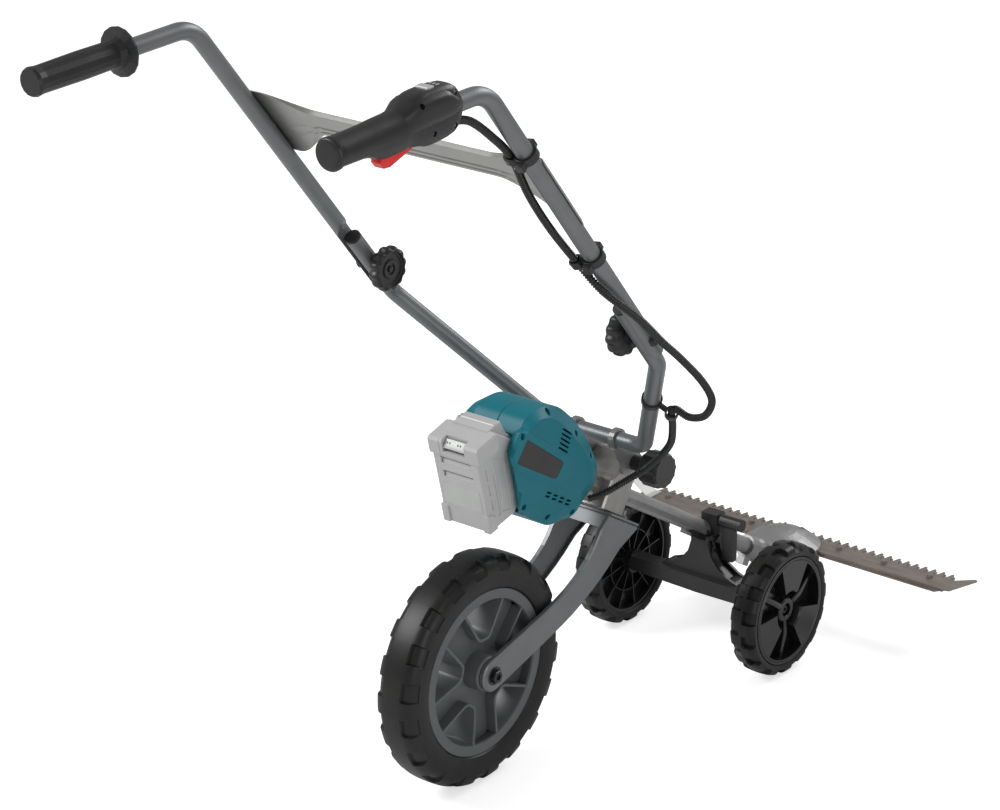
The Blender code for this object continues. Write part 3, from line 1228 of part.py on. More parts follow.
def bevel_gear(teeth, half_angle, far, near, phase):
    """A bevel gear on +Z with its cone apex at the origin, between two heights."""
    pitch_radius = far * math.tan(half_angle)
    module = 2 * pitch_radius / teeth
    addendum = 0.58 * module / math.cos(half_angle)
    dedendum = 0.84 * module / math.cos(half_angle)
    pitch = 2 * math.pi / teeth
    shape = ((-0.27, -dedendum), (-0.12, addendum), (0.12, addendum), (0.27, -dedendum))
    rings = []
    for height in (near, far):
        ring = []
        for i in range(teeth):
            for share, rise in shape:
                angle = phase + pitch * (i + share)
                radius = (pitch_radius + rise) * height / far
                ring.append((radius * math.cos(angle), radius * math.sin(angle), height))
        rings.append(ring)
    return stack(rings)


def pinion_back():
    """Where the pinion's large end lies along the drive axis."""
    apex_z, gear_angle, pinion_angle = pitch_geometry()
    cone = (GEAR_TOP - apex_z) / math.cos(gear_angle)
    apex_s = drive_coordinates(CRANK_Y, apex_z)[0]
    return apex_s - cone * math.cos(pinion_angle)


def gears():
    apex_z, gear_angle, pinion_angle = pitch_geometry()
    height = GEAR_TOP - apex_z
    gear = bevel_gear(CRANK_TEETH, gear_angle, height, height - GEAR_FACE, -math.pi / 2)
    place = (0, CRANK_Y, apex_z)
    crank = piece("crank_gear", moved(gear, place), "bright_steel", MACHINE, place)
    radius = CRANK_SHAFT_RADIUS
    blade_top = COMB_TOP - PLATE_THICKNESS - GAP
    blade_low = blade_top - PLATE_THICKNESS
    keeper_low = blade_low - GAP - PLATE_THICKNESS
    join(crank, rod((0, CRANK_Y, blade_low), (0, CRANK_Y, CASE_TOP - 0.006), radius, 20))
    join(crank, rod((BLADE_THROW, CRANK_Y, blade_low + GAP / 2), (BLADE_THROW, CRANK_Y, blade_top),
                    CAM_RADIUS, 24))
    join(crank, rod((0, CRANK_Y, keeper_low - 0.001), (0, CRANK_Y, blade_low + 0.001), 0.004, 16))
    cone = height / math.cos(gear_angle)
    far = cone * math.cos(pinion_angle)
    near = far * (height - GEAR_FACE) / height
    half_tooth = math.pi / PINION_TEETH
    pinion = bevel_gear(PINION_TEETH, pinion_angle, far, near, math.pi / 2 + half_tooth)
    pinion.transform(Matrix.Rotation(math.pi / 2, 4, "X"))
    apex_s = drive_coordinates(CRANK_Y, apex_z)[0]
    piece("bevel_pinion", moved(pinion, (0, apex_s, 0)), "bright_steel", DRIVE, (0, apex_s, 0))


def gear_case():
    """A low round case with a sloping socket behind it for the pipe."""
    low, roof = COMB_TOP + GAP, CASE_TOP
    bowl = [(0, low), (CASE_RADIUS, low), (CASE_RADIUS, low + 0.003), (CASE_RADIUS - 0.0215, roof - 0.006),
            (0.022, roof - 0.0015), (0.012, roof), (0, roof)]
    case = piece("gear_case", turned(bowl[::-1], ALONG_Z, (0, CRANK_Y, 0), 24), "cast_grey", MACHINE)
    back = pinion_back()
    chamber = 0.0165
    outside = chamber + CASE_WALL
    neck = [(0, PIPE_END - 0.022), (0.0158, PIPE_END - 0.022), (0.0158, PIPE_END), (0.0185, PIPE_END + 0.008),
            (outside, back - 0.010), (outside, back + 0.0085), (outside - 0.002, back + 0.0105),
            (0, back + 0.0105)]
    to_machine = Matrix.Translation((0, 0, DRIVE_HEIGHT)) @ Matrix.Rotation(-DRIVE_TILT, 4, "X")

    def on_drive(mesh):
        mesh.transform(to_machine)
        return mesh

    join(case, on_drive(turned(neck[::-1], ALONG_Y, steps=16)))
    rib_view = [(0.014, roof - 0.0015), (0.036, roof - 0.0040), (0.0535, low + 0.0055), (0.0535, low + 0.003),
                (0.014, roof - 0.011)]
    for angle in (-25, 25, 75):
        rib = stack([[(x, y, z) for y, z in rib_view] for x in (-0.0012, 0.0012)])
        rib.transform(Matrix.Translation((0, CRANK_Y, 0)) @ Matrix.Rotation(math.radians(angle), 4, "Z"))
        join(case, rib)
    join(case, on_drive(block((-0.006, PIPE_END - 0.021, -0.027), (0.006, PIPE_END - 0.006, -0.010))))
    inner = CASE_RADIUS - 0.0115
    cavity = [(0, low - 0.001), (inner, low - 0.001), (inner, low + 0.003),
              (inner - 0.012, GEAR_TOP + 0.0035),
              (0, GEAR_TOP + 0.0035)]
    cut(case, turned(cavity[::-1], ALONG_Z, (0, CRANK_Y, 0), 16))
    floor = [(x, y + CRANK_Y) for x, y in arc((0, 0), inner + 0.003, 203, 337, 6)]
    join(case, stack([[(x, y, z) for x, y in floor] for z in (low - 0.0025, low + 0.0012)]))
    cut(case, on_drive(rod((0, back - 0.0010, 0), (0, back + 0.0075, 0), chamber, 16)))
    cut(case, on_drive(rod((0, PIPE_END - 0.05, 0), (0, PIPE_END + GAP, 0), PIPE_RADIUS + GAP, 20)))
    cut(case, on_drive(rod((0, PIPE_END - 0.001, 0), (0, back + 0.001, 0), SHAFT_RADIUS + GAP, 12)))
    cut(case, rod((0, CRANK_Y, GEAR_TOP), (0, CRANK_Y, roof - 0.0055), CRANK_SHAFT_RADIUS + GAP, 20))


def toothed_edge(pitch, teeth_each_side, root, tip, base_share, tip_share, shift=0.0):
    """The front edge of the comb or the blade, from left to right."""
    points = []
    for i in range(-teeth_each_side, teeth_each_side + 1):
        centre = i * pitch + shift
        base, nose = pitch * base_share / 2, pitch * tip_share / 2
        points += [(centre - base, root), (centre - nose, tip), (centre + nose, tip), (centre + base, root)]
    return points


def cutter_bar():
    gap, thick = GAP, PLATE_THICKNESS
    comb_z = COMB_TOP - thick / 2
    blade_z = comb_z - thick - gap
    keeper_z = blade_z - thick - gap
    bolt_places = [(i * BAR_BOLT_PITCH, BAR_BOLT_Y) for i in range(-BAR_BOLTS_A_SIDE,
                                                                   BAR_BOLTS_A_SIDE + 1) if i]
    edge = toothed_edge(TOOTH_PITCH, TEETH_A_SIDE, BAR_ROOT, BAR_TIP, 0.66, 0.20)
    last = TEETH_A_SIDE * TOOTH_PITCH
    comb_loop = ([(-last - 0.020, BAR_ROOT - 0.003), (-last - 0.010, BAR_ROOT)] + edge
                 + [(last + 0.010, BAR_ROOT), (BAR_HALF - 0.004, BAR_TIP + BAR_HOOK),
                    (BAR_HALF, BAR_TIP + BAR_HOOK - 0.002),
                    (last + 0.022, BAR_REAR + 0.004), (last + 0.012, BAR_REAR + 0.001), (0.056, BAR_REAR),
                    (0.046, BAR_TAB), (-0.046, BAR_TAB), (-0.056, BAR_REAR),
                    (-last - 0.012, BAR_REAR + 0.001), (-last - 0.020, BAR_REAR + 0.008)])
    comb = plate([comb_loop, circle((0, CRANK_Y), CRANK_SHAFT_RADIUS + gap, 20)], thick,
                 centre=(0, 0, comb_z))
    comb = piece("guide_comb", comb, "blade_steel", MACHINE)
    low = keeper_z - thick / 2
    for x, y in bolt_places:
        join(comb, rod((x, y, low - 0.001), (x, y, COMB_TOP + 0.001), BOLT_RADIUS, 8),
             rod((x, y, COMB_TOP - 0.0005), (x, y, COMB_TOP + 0.0045), 0.0052, 8, 0.0042),
             rod((x, y, low - gap), (x, y, low - 0.0035), 0.0050, 6))
    edge = toothed_edge(TOOTH_PITCH, TEETH_A_SIDE, BAR_ROOT - 0.001, BAR_TIP - 0.0015, 0.58, 0.16, 0.0030)
    window_x = CAM_RADIUS + 2 * BLADE_THROW + 0.0006
    window_y = CAM_RADIUS + BLADE_THROW + 0.0004
    blade_loop = ([(-last - 0.006, BAR_ROOT - 0.008)] + edge
                  + [(last + 0.012, BAR_ROOT - 0.008), (last + 0.012, BAR_REAR + 0.002),
                     (0.040, BAR_REAR + 0.002),
                     (0.034, CRANK_Y - window_y - 0.0025), (-0.034, CRANK_Y - window_y - 0.0025),
                     (-0.040, BAR_REAR + 0.002), (-last - 0.006, BAR_REAR + 0.002)])
    holes = [[(-window_x, CRANK_Y - window_y), (window_x, CRANK_Y - window_y),
              (window_x, CRANK_Y + window_y), (-window_x, CRANK_Y + window_y)]]
    slot = BLADE_THROW + gap
    for x, y in bolt_places:
        r = BOLT_RADIUS + gap
        holes.append(arc((x + slot, y), r, -90, 90, 4) + arc((x - slot, y), r, 90, 270, 4))
    piece("cutter_blade", plate([blade_loop] + holes, thick, centre=(0, 0, blade_z)), "blade_steel", MACHINE)
    keeper_loop = [(-last, BAR_REAR), (-0.056, BAR_REAR), (-0.044, BAR_TAB), (0.044, BAR_TAB),
                   (0.056, BAR_REAR), (last, BAR_REAR), (last + 0.008, BAR_REAR + 0.012), (last, BAR_ROOT - 0.004),
                   (-last, BAR_ROOT - 0.004), (-last - 0.008, BAR_REAR + 0.012)]
    bores = [circle((x, y), BOLT_RADIUS + gap, 10) for x, y in bolt_places]
    bores.append(circle((0, CRANK_Y), 0.004 + gap, 16))
    piece("blade_keeper", plate([keeper_loop] + bores, thick, centre=(0, 0, keeper_z)), "blade_steel",
          MACHINE)
    flat_z = COMB_TOP + gap
    rise = 0.020
    side_view = [(-last + 0.004, flat_z), (-last + 0.004, flat_z + 0.0015), (-last - 0.006, flat_z + 0.0015),
                 (-BAR_HALF, flat_z + rise + 0.0018), (-BAR_HALF + 0.0008, flat_z + rise),
                 (-last - 0.0055, flat_z)]
    divider = stack([[(x, y, z) for x, z in side_view] for y in (BAR_ROOT - 0.029, BAR_ROOT - 0.003)])
    piece("divider_plate", divider, "pale_plastic", MACHINE)


# Cable and its clips

CABLE_ROUTE = [(0.222, -0.288, 0.985), (0.222, -0.257, 0.977), (0.216, -0.213, 0.948), (0.206, -0.167, 0.912),
               (0.204, -0.134, 0.860), (0.204, -0.094, 0.809), (0.205, -0.046, 0.757),
               (0.226, -0.0255, 0.721),
               (0.246, 0.020, 0.678), (0.252, 0.059, 0.639), (0.256, 0.092, 0.609), (0.262, 0.128, 0.571),
               (0.262, 0.150, 0.539), (0.245, 0.160, 0.512), (0.222, 0.160, 0.504), (0.199, 0.163, 0.508),
               (0.185, 0.173, 0.496), (0.174, 0.191, 0.470), (0.150, 0.218, 0.430), (0.105, 0.238, 0.384),
               (0.072, 0.228, 0.356), (0.052, 0.206, 0.340), (0.040, 0.192, 0.335)]


def cable():
    piece("control_cable", tube(smooth_route(CABLE_ROUTE, 2), CABLE_RADIUS, 1), "cable_black", MACHINE)


def cable_clip(name, tube_at, along, index, width):
    """A clip that holds one point of the cable's route beside a handle tube."""
    along = Vector(along).normalized() * width / 2
    tube_at, cable_at = Vector(tube_at), Vector(CABLE_ROUTE[index])
    run = (Vector(CABLE_ROUTE[index + 1]) - Vector(CABLE_ROUTE[index - 1])).normalized() * width / 2
    wall = 0.0022
    tube_hole = TUBE_RADIUS + GAP
    cable_hole = CABLE_RADIUS + 0.0016
    clip = piece(name, rod(tube_at - along, tube_at + along, tube_hole + wall, 20), "black_plastic", MACHINE)
    join(clip, rod(cable_at - run, cable_at + run, cable_hole + wall, 12), rod(tube_at, cable_at, 0.004, 8))
    cut(clip, rod(tube_at - along * 2, tube_at + along * 2, tube_hole, 20),
        rod(cable_at - run * 2, cable_at + run * 2, cable_hole, 12))


def cable_clips():
    for label, index, rise in (("top", 3, 0.671), ("middle", 6, 0.475)):
        tube_at = BASE_TUBE + HANDLE_UP * rise + Vector((HALF_HANDLE, 0, 0))
        cable_clip(f"cable_clip_{label}", tube_at, HANDLE_UP, index, 0.009)
    leg = Vector((LOWER_X - BASE_HALF_WIDTH, 0, 0)) + HANDLE_UP * LOWER_RISE
    share = 0.585
    tube_at = BASE_TUBE + Vector((BASE_HALF_WIDTH, 0, 0)) + leg * share
    cable_clip("cable_clip_lower", tube_at, leg, 16, 0.010)


def build():
    rear_wheel()
    fork()
    motor_housing()
    motor_internals()
    battery()
    drive_line()
    handle_clamp()
    lower_handle()
    knobs_and_bolts()
    upper_handle()
    cross_brace()
    left_grip()
    switch_housing()
    front_bracket()
    for label, side in (("right", 1), ("left", -1)):
        front_wheel(label, side)
    gears()
    gear_case()
    cutter_bar()
    cable()
    cable_clips()


build()
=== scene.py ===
import json
from math import atan2, copysign, cos, degrees, hypot, pi, radians, sin, sqrt, tan

import bmesh
import bpy
from mathutils import Matrix, Vector


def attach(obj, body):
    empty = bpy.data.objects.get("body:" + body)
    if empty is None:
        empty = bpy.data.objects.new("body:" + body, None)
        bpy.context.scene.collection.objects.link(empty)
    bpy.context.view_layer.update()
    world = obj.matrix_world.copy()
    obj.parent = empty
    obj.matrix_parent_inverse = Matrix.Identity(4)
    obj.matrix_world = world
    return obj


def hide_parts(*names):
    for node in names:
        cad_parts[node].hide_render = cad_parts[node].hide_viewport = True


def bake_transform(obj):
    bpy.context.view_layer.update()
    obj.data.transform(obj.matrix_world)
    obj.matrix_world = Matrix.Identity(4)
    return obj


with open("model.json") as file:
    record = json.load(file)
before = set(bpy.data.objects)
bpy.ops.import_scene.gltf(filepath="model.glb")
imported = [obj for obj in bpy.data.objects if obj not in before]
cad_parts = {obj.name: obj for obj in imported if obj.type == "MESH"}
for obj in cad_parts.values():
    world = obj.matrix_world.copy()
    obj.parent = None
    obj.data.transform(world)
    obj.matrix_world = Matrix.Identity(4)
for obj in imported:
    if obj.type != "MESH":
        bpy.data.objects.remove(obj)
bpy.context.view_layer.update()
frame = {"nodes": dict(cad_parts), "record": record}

# The rear axle stands this far behind the middle of the machine's length
SHIFT = -0.143617

NODES = frame["nodes"]


# Camera, light and floor

PICTURE_WIDTH = 1000
SENSOR_WIDTH = 36
# The camera's focal length, in pixels of a picture of that width
FOCAL_PIXELS = 3099.8
CAMERA_PLACE = (2.289, -2.731 + SHIFT, 1.916)
# Direction from which the camera looks, and its roll
AZIMUTH, ELEVATION, ROLL = (radians(angle) for angle in (39.33, 21.47, -0.22))
# Name, place, width and height in metres, and power of each lamp
LAMPS = (("key", (-2.6, -2.4, 3.2), (1.8, 1.6), 125), ("fill", (3.4, -1.2, 1.5), (1.4, 2.4), 26),
         ("rim", (0.6, 3.4, 2.8), (2.6, 1.2), 62))
LAMP_TARGET = (0, 0, 0.4)
SKY_STRENGTH = 0.34
FLOOR_REACH = 30
FLOOR_DROP = 0.0005
FLOOR_WHITE = (0.8, 0.8, 0.8, 1)
FLOOR_GLOW = 0.62


def placed(name, data):
    """A new object in the scene."""
    obj = bpy.data.objects.new(name, data)
    bpy.context.scene.collection.objects.link(obj)
    return obj


def add_camera():
    flat = cos(ELEVATION)
    back = Vector((sin(AZIMUTH) * flat, -cos(AZIMUTH) * flat, sin(ELEVATION)))
    level = Vector((cos(AZIMUTH), sin(AZIMUTH), 0))
    upright = back.cross(level)
    right = level * cos(ROLL) + upright * sin(ROLL)
    up = upright * cos(ROLL) - level * sin(ROLL)
    data = bpy.data.cameras.new("camera")
    data.sensor_width = SENSOR_WIDTH
    data.lens = FOCAL_PIXELS * SENSOR_WIDTH / PICTURE_WIDTH
    data.clip_start, data.clip_end = 0.1, 60
    camera = placed("camera", data)
    place = Matrix((right, up, back)).transposed().to_4x4()
    place.translation = CAMERA_PLACE
    camera.matrix_world = place
    bpy.context.scene.camera = camera


def add_lamps():
    for name, place, size, watts in LAMPS:
        data = bpy.data.lights.new(name, "AREA")
        data.shape = "RECTANGLE"
        data.size, data.size_y = size
        data.energy = watts
        lamp = placed(name, data)
        lamp.location = place
        lamp.rotation_euler = (Vector(LAMP_TARGET) - Vector(place)).to_track_quat("-Z", "Y").to_euler()


def set_inputs(node, **values):
    for key, value in values.items():
        node.inputs[key.replace("_", " ")].default_value = value


def split_by_ray(tree, seen, other, surface):
    """Give one shader to the camera's rays and the other one to all the rest."""
    path = tree.nodes.new("ShaderNodeLightPath")
    mix = tree.nodes.new("ShaderNodeMixShader")
    for source, target in ((path.outputs["Is Camera Ray"], mix.inputs[0]), (other, mix.inputs[1]),
                           (seen, mix.inputs[2]), (mix.outputs[0], surface)):
        tree.links.new(source, target)


def add_sky():
    world = bpy.data.worlds.new("studio")
    bpy.context.scene.world = world
    world.use_nodes = True
    nodes = world.node_tree.nodes
    sky, white = nodes["Background"], nodes.new("ShaderNodeBackground")
    set_inputs(sky, Color=(1, 1, 1, 1), Strength=SKY_STRENGTH)
    split_by_ray(world.node_tree, white.outputs[0], sky.outputs[0], nodes["World Output"].inputs["Surface"])


def add_floor():
    mesh = bpy.data.meshes.new("floor")
    corners = [(x * FLOOR_REACH, y * FLOOR_REACH, 0) for x, y in ((-1, -1), (1, -1), (1, 1), (-1, 1))]
    mesh.from_pydata(corners, [], [(0, 1, 2, 3)])
    floor = placed("floor", mesh)
    floor.location.z = -FLOOR_DROP
    material = bpy.data.materials.new("floor_white")
    material.use_nodes = True
    nodes, links = material.node_tree.nodes, material.node_tree.links
    shader = nodes["Principled BSDF"]
    set_inputs(shader, Base_Color=FLOOR_WHITE, Roughness=0.9)
    glow = nodes.new("ShaderNodeEmission")
    set_inputs(glow, Strength=FLOOR_GLOW)
    both = nodes.new("ShaderNodeAddShader")
    links.new(shader.outputs[0], both.inputs[0])
    links.new(glow.outputs[0], both.inputs[1])
    split_by_ray(material.node_tree, both.outputs[0], shader.outputs[0],
                 nodes["Material Output"].inputs["Surface"])
    mesh.materials.append(material)


# Materials

GLOSS_SPREAD = 0.06
GRAIN_HEIGHT = 0.0004
# Scale of the dust patches, and the part of their noise that shows
DUST_SCALE = 42
DUST_LIMITS = (0.48, 0.78)
# Angle from which an edge is shaded sharp on the CAD nodes
SHARP_ANGLE = 32

# Colour, roughness, metallic share, mottling and its scale, grain and its scale, then what only some have
FINISHES = {
    "silver_paint": ((0.205, 0.215, 0.22), 0.42, 0.55, 0.05, 30, 0.1, 2600, {}),
    "brace_metal": ((0.36, 0.365, 0.345), 0.34, 0.75, 0.06, 24, 0.12, 2200, {}),
    "cast_grey": ((0.3, 0.305, 0.3), 0.42, 0.6, 0.08, 40, 0.25, 900, {}),
    "bright_cast": ((0.33, 0.325, 0.31), 0.34, 0.85, 0.14, 45, 0.3, 900, {}),
    "teal_plastic": ((0.003, 0.165, 0.215), 0.46, 0, 0.05, 12, 0.2, 1500, {"specular": 0.3}),
    "battery_plastic": ((0.5, 0.5, 0.5), 0.55, 0, 0.04, 20, 0.15, 1500, {}),
    "black_plastic": ((0.017, 0.017, 0.0172), 0.38, 0, 0.15, 30, 0.22, 1400, {"specular": 0.5}),
    "grip_rubber": ((0.013, 0.013, 0.0135), 0.44, 0, 0.12, 40, 0.45, 1200, {"specular": 0.5}),
    "tyre_rubber": ((0.008, 0.0076, 0.0072), 0.4, 0, 0.18, 35, 0.35, 900,
                    {"specular": 0.4, "dust": ((0.1, 0.088, 0.075), 0.06)}),
    "rim_plastic": ((0.105, 0.114, 0.118), 0.42, 0, 0.08, 25, 0.15, 1200, {}),
    "front_rim_plastic": ((0.009, 0.009, 0.0095), 0.22, 0, 0.1, 25, 0.1, 1200, {"specular": 0.6}),
    "red_plastic": ((0.78, 0.02, 0.016), 0.38, 0, 0.04, 30, 0.08, 1500, {}),
    "pale_plastic": ((0.52, 0.53, 0.52), 0.45, 0.2, 0.05, 30, 0.1, 1200, {}),
    "blade_steel": ((0.3, 0.262, 0.235), 0.4, 0.75, 0.16, 22, 0.2, 1400, {"streak": (1, 7, 1)}),
    "bright_steel": ((0.6, 0.61, 0.62), 0.28, 0.95, 0.06, 60, 0.1, 1600, {}),
    "copper": ((0.72, 0.33, 0.16), 0.35, 0.9, 0.15, 60, 0.4, 700, {}),
    "board_green": ((0.02, 0.15, 0.07), 0.5, 0, 0.1, 60, 0.2, 900, {}),
    "cable_black": ((0.01, 0.01, 0.01), 0.34, 0, 0.15, 40, 0.2, 1500, {}),
}

# Bevel widths of the CAD nodes that are shown as they are
EDGE_SOFTENING = {
    0.0024: ("fork_arm_left", "fork_arm_right"),
    0.001: ("tilt_knob", "left_grip", "trigger"),
    0.0009: ("gear_case",),
    0.0008: ("fork_plate", "pipe_flange", "handle_clamp", "front_bracket", "clamp_lever"),
    0.0006: ("gusset_left", "gusset_right", "handle_bolt_left", "handle_bolt_right"),
    0.0005: ("cable_clip_top", "cable_clip_middle", "cable_clip_lower"),
    0.0004: ("guide_comb", "battery_dock"),
    0.0003: ("cutter_blade", "blade_keeper", "divider_plate"),
}


def finish_of(name, colour, roughness, metallic, mottle, mottle_scale, grain, grain_scale, streak=(1, 1, 1),
              dust=None, specular=None):
    """A surface with soft colour variation, fine grain in its relief and a little spread in its gloss."""
    material = bpy.data.materials.new(name)
    material.use_nodes = True
    nodes, links = material.node_tree.nodes, material.node_tree.links
    shader = nodes["Principled BSDF"]
    set_inputs(shader, Metallic=metallic)
    if specular is not None:
        set_inputs(shader, Specular_IOR_Level=specular)
    place = nodes.new("ShaderNodeTexCoord").outputs["Object"]

    def noise(scale, detail, source):
        cloud = nodes.new("ShaderNodeTexNoise")
        set_inputs(cloud, Scale=scale, Detail=detail)
        links.new(source, cloud.inputs["Vector"])
        return cloud.outputs["Fac"]

    def stretched(source, low, high, start=0, end=1):
        limits = nodes.new("ShaderNodeMapRange")
        set_inputs(limits, From_Min=start, From_Max=end, To_Min=low, To_Max=high)
        links.new(source, limits.inputs["Value"])
        return limits.outputs[0]

    drawn_out = nodes.new("ShaderNodeMapping")
    set_inputs(drawn_out, Scale=streak)
    links.new(place, drawn_out.inputs["Vector"])
    tones = nodes.new("ShaderNodeValToRGB")
    for stop, position, share in zip(tones.color_ramp.elements, (0.3, 0.7), (1 - mottle, 1 + mottle)):
        stop.position = position
        stop.color = (*(min(channel * share, 1) for channel in colour), 1)
    links.new(noise(mottle_scale, 4, drawn_out.outputs[0]), tones.inputs["Fac"])
    tint = tones.outputs["Color"]
    if dust:
        shade, share = dust
        blend = nodes.new("ShaderNodeMix")
        blend.data_type = "RGBA"
        set_inputs(blend, B=(*shade, 1))
        links.new(stretched(noise(DUST_SCALE, 6, place), 0, share, *DUST_LIMITS), blend.inputs["Factor"])
        links.new(tint, blend.inputs["A"])
        tint = blend.outputs["Result"]
    links.new(tint, shader.inputs["Base Color"])
    fine = noise(grain_scale, 3, place)
    links.new(stretched(fine, roughness - GLOSS_SPREAD, roughness + GLOSS_SPREAD),
              shader.inputs["Roughness"])
    bump = nodes.new("ShaderNodeBump")
    set_inputs(bump, Strength=grain, Distance=GRAIN_HEIGHT)
    links.new(fine, bump.inputs["Height"])
    links.new(bump.outputs[0], shader.inputs["Normal"])
    return material


def dress_nodes():
    slots = {entry["node"]: entry["material_slot"] for entry in frame["record"]["subparts"]}
    for name, obj in NODES.items():
        obj.data.materials.clear()
        obj.data.materials.append(MATERIALS[slots[name]])
        obj.data.shade_smooth()
        obj.data.set_sharp_from_angle(angle=radians(SHARP_ANGLE))
    for width, names in EDGE_SOFTENING.items():
        for name in names:
            soften(NODES[name], width)


# Frames

def frame_at(place, angle):
    """Coordinates with their origin at a place, turned about X."""
    return Matrix.Translation(place) @ Matrix.Rotation(angle, 4, "X")


DRIVE_TILT = radians(31)
HANDLE_LEAN = radians(39)
BATTERY_TILT = radians(14)
GRIP_DROP = radians(2.7)
TO_DRIVE = frame_at((0, SHIFT, 0.48), -DRIVE_TILT)
BASE_TUBE = TO_DRIVE @ Vector((0, 0.268, 0.062))
TO_HANDLE = frame_at(BASE_TUBE, HANDLE_LEAN)
HANDLE_TOP = TO_HANDLE @ Vector((0, 0, 0.7845))
TO_GRIPS = frame_at(HANDLE_TOP, GRIP_DROP)
TO_BATTERY = frame_at((0, 0.002 + SHIFT, 0.357), BATTERY_TILT)
TO_MACHINE = Matrix.Translation((0, SHIFT, 0))
HALF_HANDLE = 0.222
TUBE_RADIUS = 0.011
FOLD_RISE = 0.308
SIDES = ((1, "right"), (-1, "left"))
REAR_CENTRE = Vector((0, SHIFT, 0.155))
FRONT_CENTRES = {side: Vector((side * 0.1335, 0.503 + SHIFT, 0.094)) for side, _ in SIDES}


# Mesh building

def mesh_from(verts, faces):
    mesh = bpy.data.meshes.new("shape")
    mesh.from_pydata([tuple(v) for v in verts], [], faces)
    bm = bmesh.new()
    bm.from_mesh(mesh)
    bmesh.ops.recalc_face_normals(bm, faces=bm.faces)
    bm.to_mesh(mesh)
    bm.free()
    return mesh


def loft(rings, loop=False):
    """Skin closed rings with equal point counts, with both ends capped; loop joins the last to the first."""
    count = len(rings[0])
    verts = [point for ring in rings for point in ring]
    faces = []
    for k in range(len(rings) - (0 if loop else 1)):
        a, b = k * count, ((k + 1) % len(rings)) * count
        for i in range(count):
            j = (i + 1) % count
            faces.append((a + i, a + j, b + j, b + i))
    if not loop:
        faces.append(tuple(range(count)))
        faces.append(tuple(range(len(verts) - count, len(verts))))
    return mesh_from(verts, faces)


def metres(rows):
    """Rows of millimetres, turned into metres."""
    return [tuple(value / 1000 for value in row) for row in rows]


def turns(count):
    """The angles of a circle cut into equal parts."""
    return [2 * pi * i / count for i in range(count)]


def lathe(profile, place, steps=48, axis="X", loop=False):
    """Turn (radius, along) points round an axis through place; loop closes the profile into a ring."""
    rings = []
    for radius, along in profile:
        ring = []
        for angle in turns(steps):
            across, up = radius * cos(angle), radius * sin(angle)
            spot = {"X": (along, across, up), "Y": (across, along, up), "Z": (across, up, along)}[axis]
            ring.append(Vector(spot) + Vector(place))
        rings.append(ring)
    return loft(rings, loop)


def turned(profile, place, side, steps=48, loop=False):
    """A lathe along X whose profile counts towards one side of the machine."""
    return lathe([(radius, side * x) for radius, x in profile], place, steps, "X", loop)


def moved(mesh, place):
    mesh.transform(place)
    return mesh


def box(low, high):
    (a, b, c), (d, e, f) = low, high
    return loft([[(a, b, z), (d, b, z), (d, e, z), (a, e, z)] for z in (c, f)])


def curve_point(a, b, c, d, t):
    """A point on the smooth curve from b to c, where a comes before them and d after."""
    return 0.5 * ((2 * b) + (c - a) * t + (2 * a - 5 * b + 4 * c - d) * t * t
                  + (3 * b - a - 3 * c + d) * t ** 3)


def catmull(points, steps):
    points = [Vector(point) for point in points]
    ends = [points[0] * 2 - points[1]] + points + [points[-1] * 2 - points[-2]]
    route = []
    for spots in zip(ends, ends[1:], ends[2:], ends[3:]):
        route += [curve_point(*spots, i / steps) for i in range(steps)]
    return route + [points[-1]]


def rounded(corners, radius, steps=12):
    """A route through corners, with each inner corner bent to a radius."""
    corners = [Vector(corner) for corner in corners]
    route = [corners[0]]
    for before, corner, after in zip(corners, corners[1:], corners[2:]):
        back, ahead = (before - corner).normalized(), (after - corner).normalized()
        half = back.angle(ahead) / 2
        centre = corner + (back + ahead).normalized() * radius / sin(half)
        start, end = corner + back * radius / tan(half), corner + ahead * radius / tan(half)
        for i in range(steps + 1):
            spoke = (start - centre).normalized().slerp((end - centre).normalized(), i / steps)
            route.append(centre + spoke.normalized() * radius)
    route.append(corners[-1])
    return route


def resample(route, spacing):
    lengths = [0]
    for a, b in zip(route, route[1:]):
        lengths.append(lengths[-1] + (b - a).length)
    count = max(int(lengths[-1] / spacing), 1)
    out, k = [], 0
    for i in range(count + 1):
        target = lengths[-1] * i / count
        while k < len(lengths) - 2 and lengths[k + 1] < target:
            k += 1
        share = (target - lengths[k]) / max(lengths[k + 1] - lengths[k], 1e-9)
        out.append(route[k].lerp(route[k + 1], min(share, 1)))
    return out


def sweep(route, radii, sides):
    """A round section carried along a route without twisting; one radius for each point."""
    rings = []
    tangent = (route[1] - route[0]).normalized()
    side = tangent.orthogonal().normalized()
    for i, point in enumerate(route):
        before, after = route[max(i - 1, 0)], route[min(i + 1, len(route) - 1)]
        ahead = (after - before).normalized()
        side = (side - ahead * side.dot(ahead)).normalized()
        other = ahead.cross(side)
        ring = []
        for angle in turns(sides):
            ring.append(point + (side * cos(angle) + other * sin(angle)) * radii[i])
        rings.append(ring)
    return loft(rings)


def arc(centre, radius, start, end, steps):
    angles = [radians(start + (end - start) * i / steps) for i in range(steps + 1)]
    return [(centre[0] + radius * cos(a), centre[1] + radius * sin(a)) for a in angles]


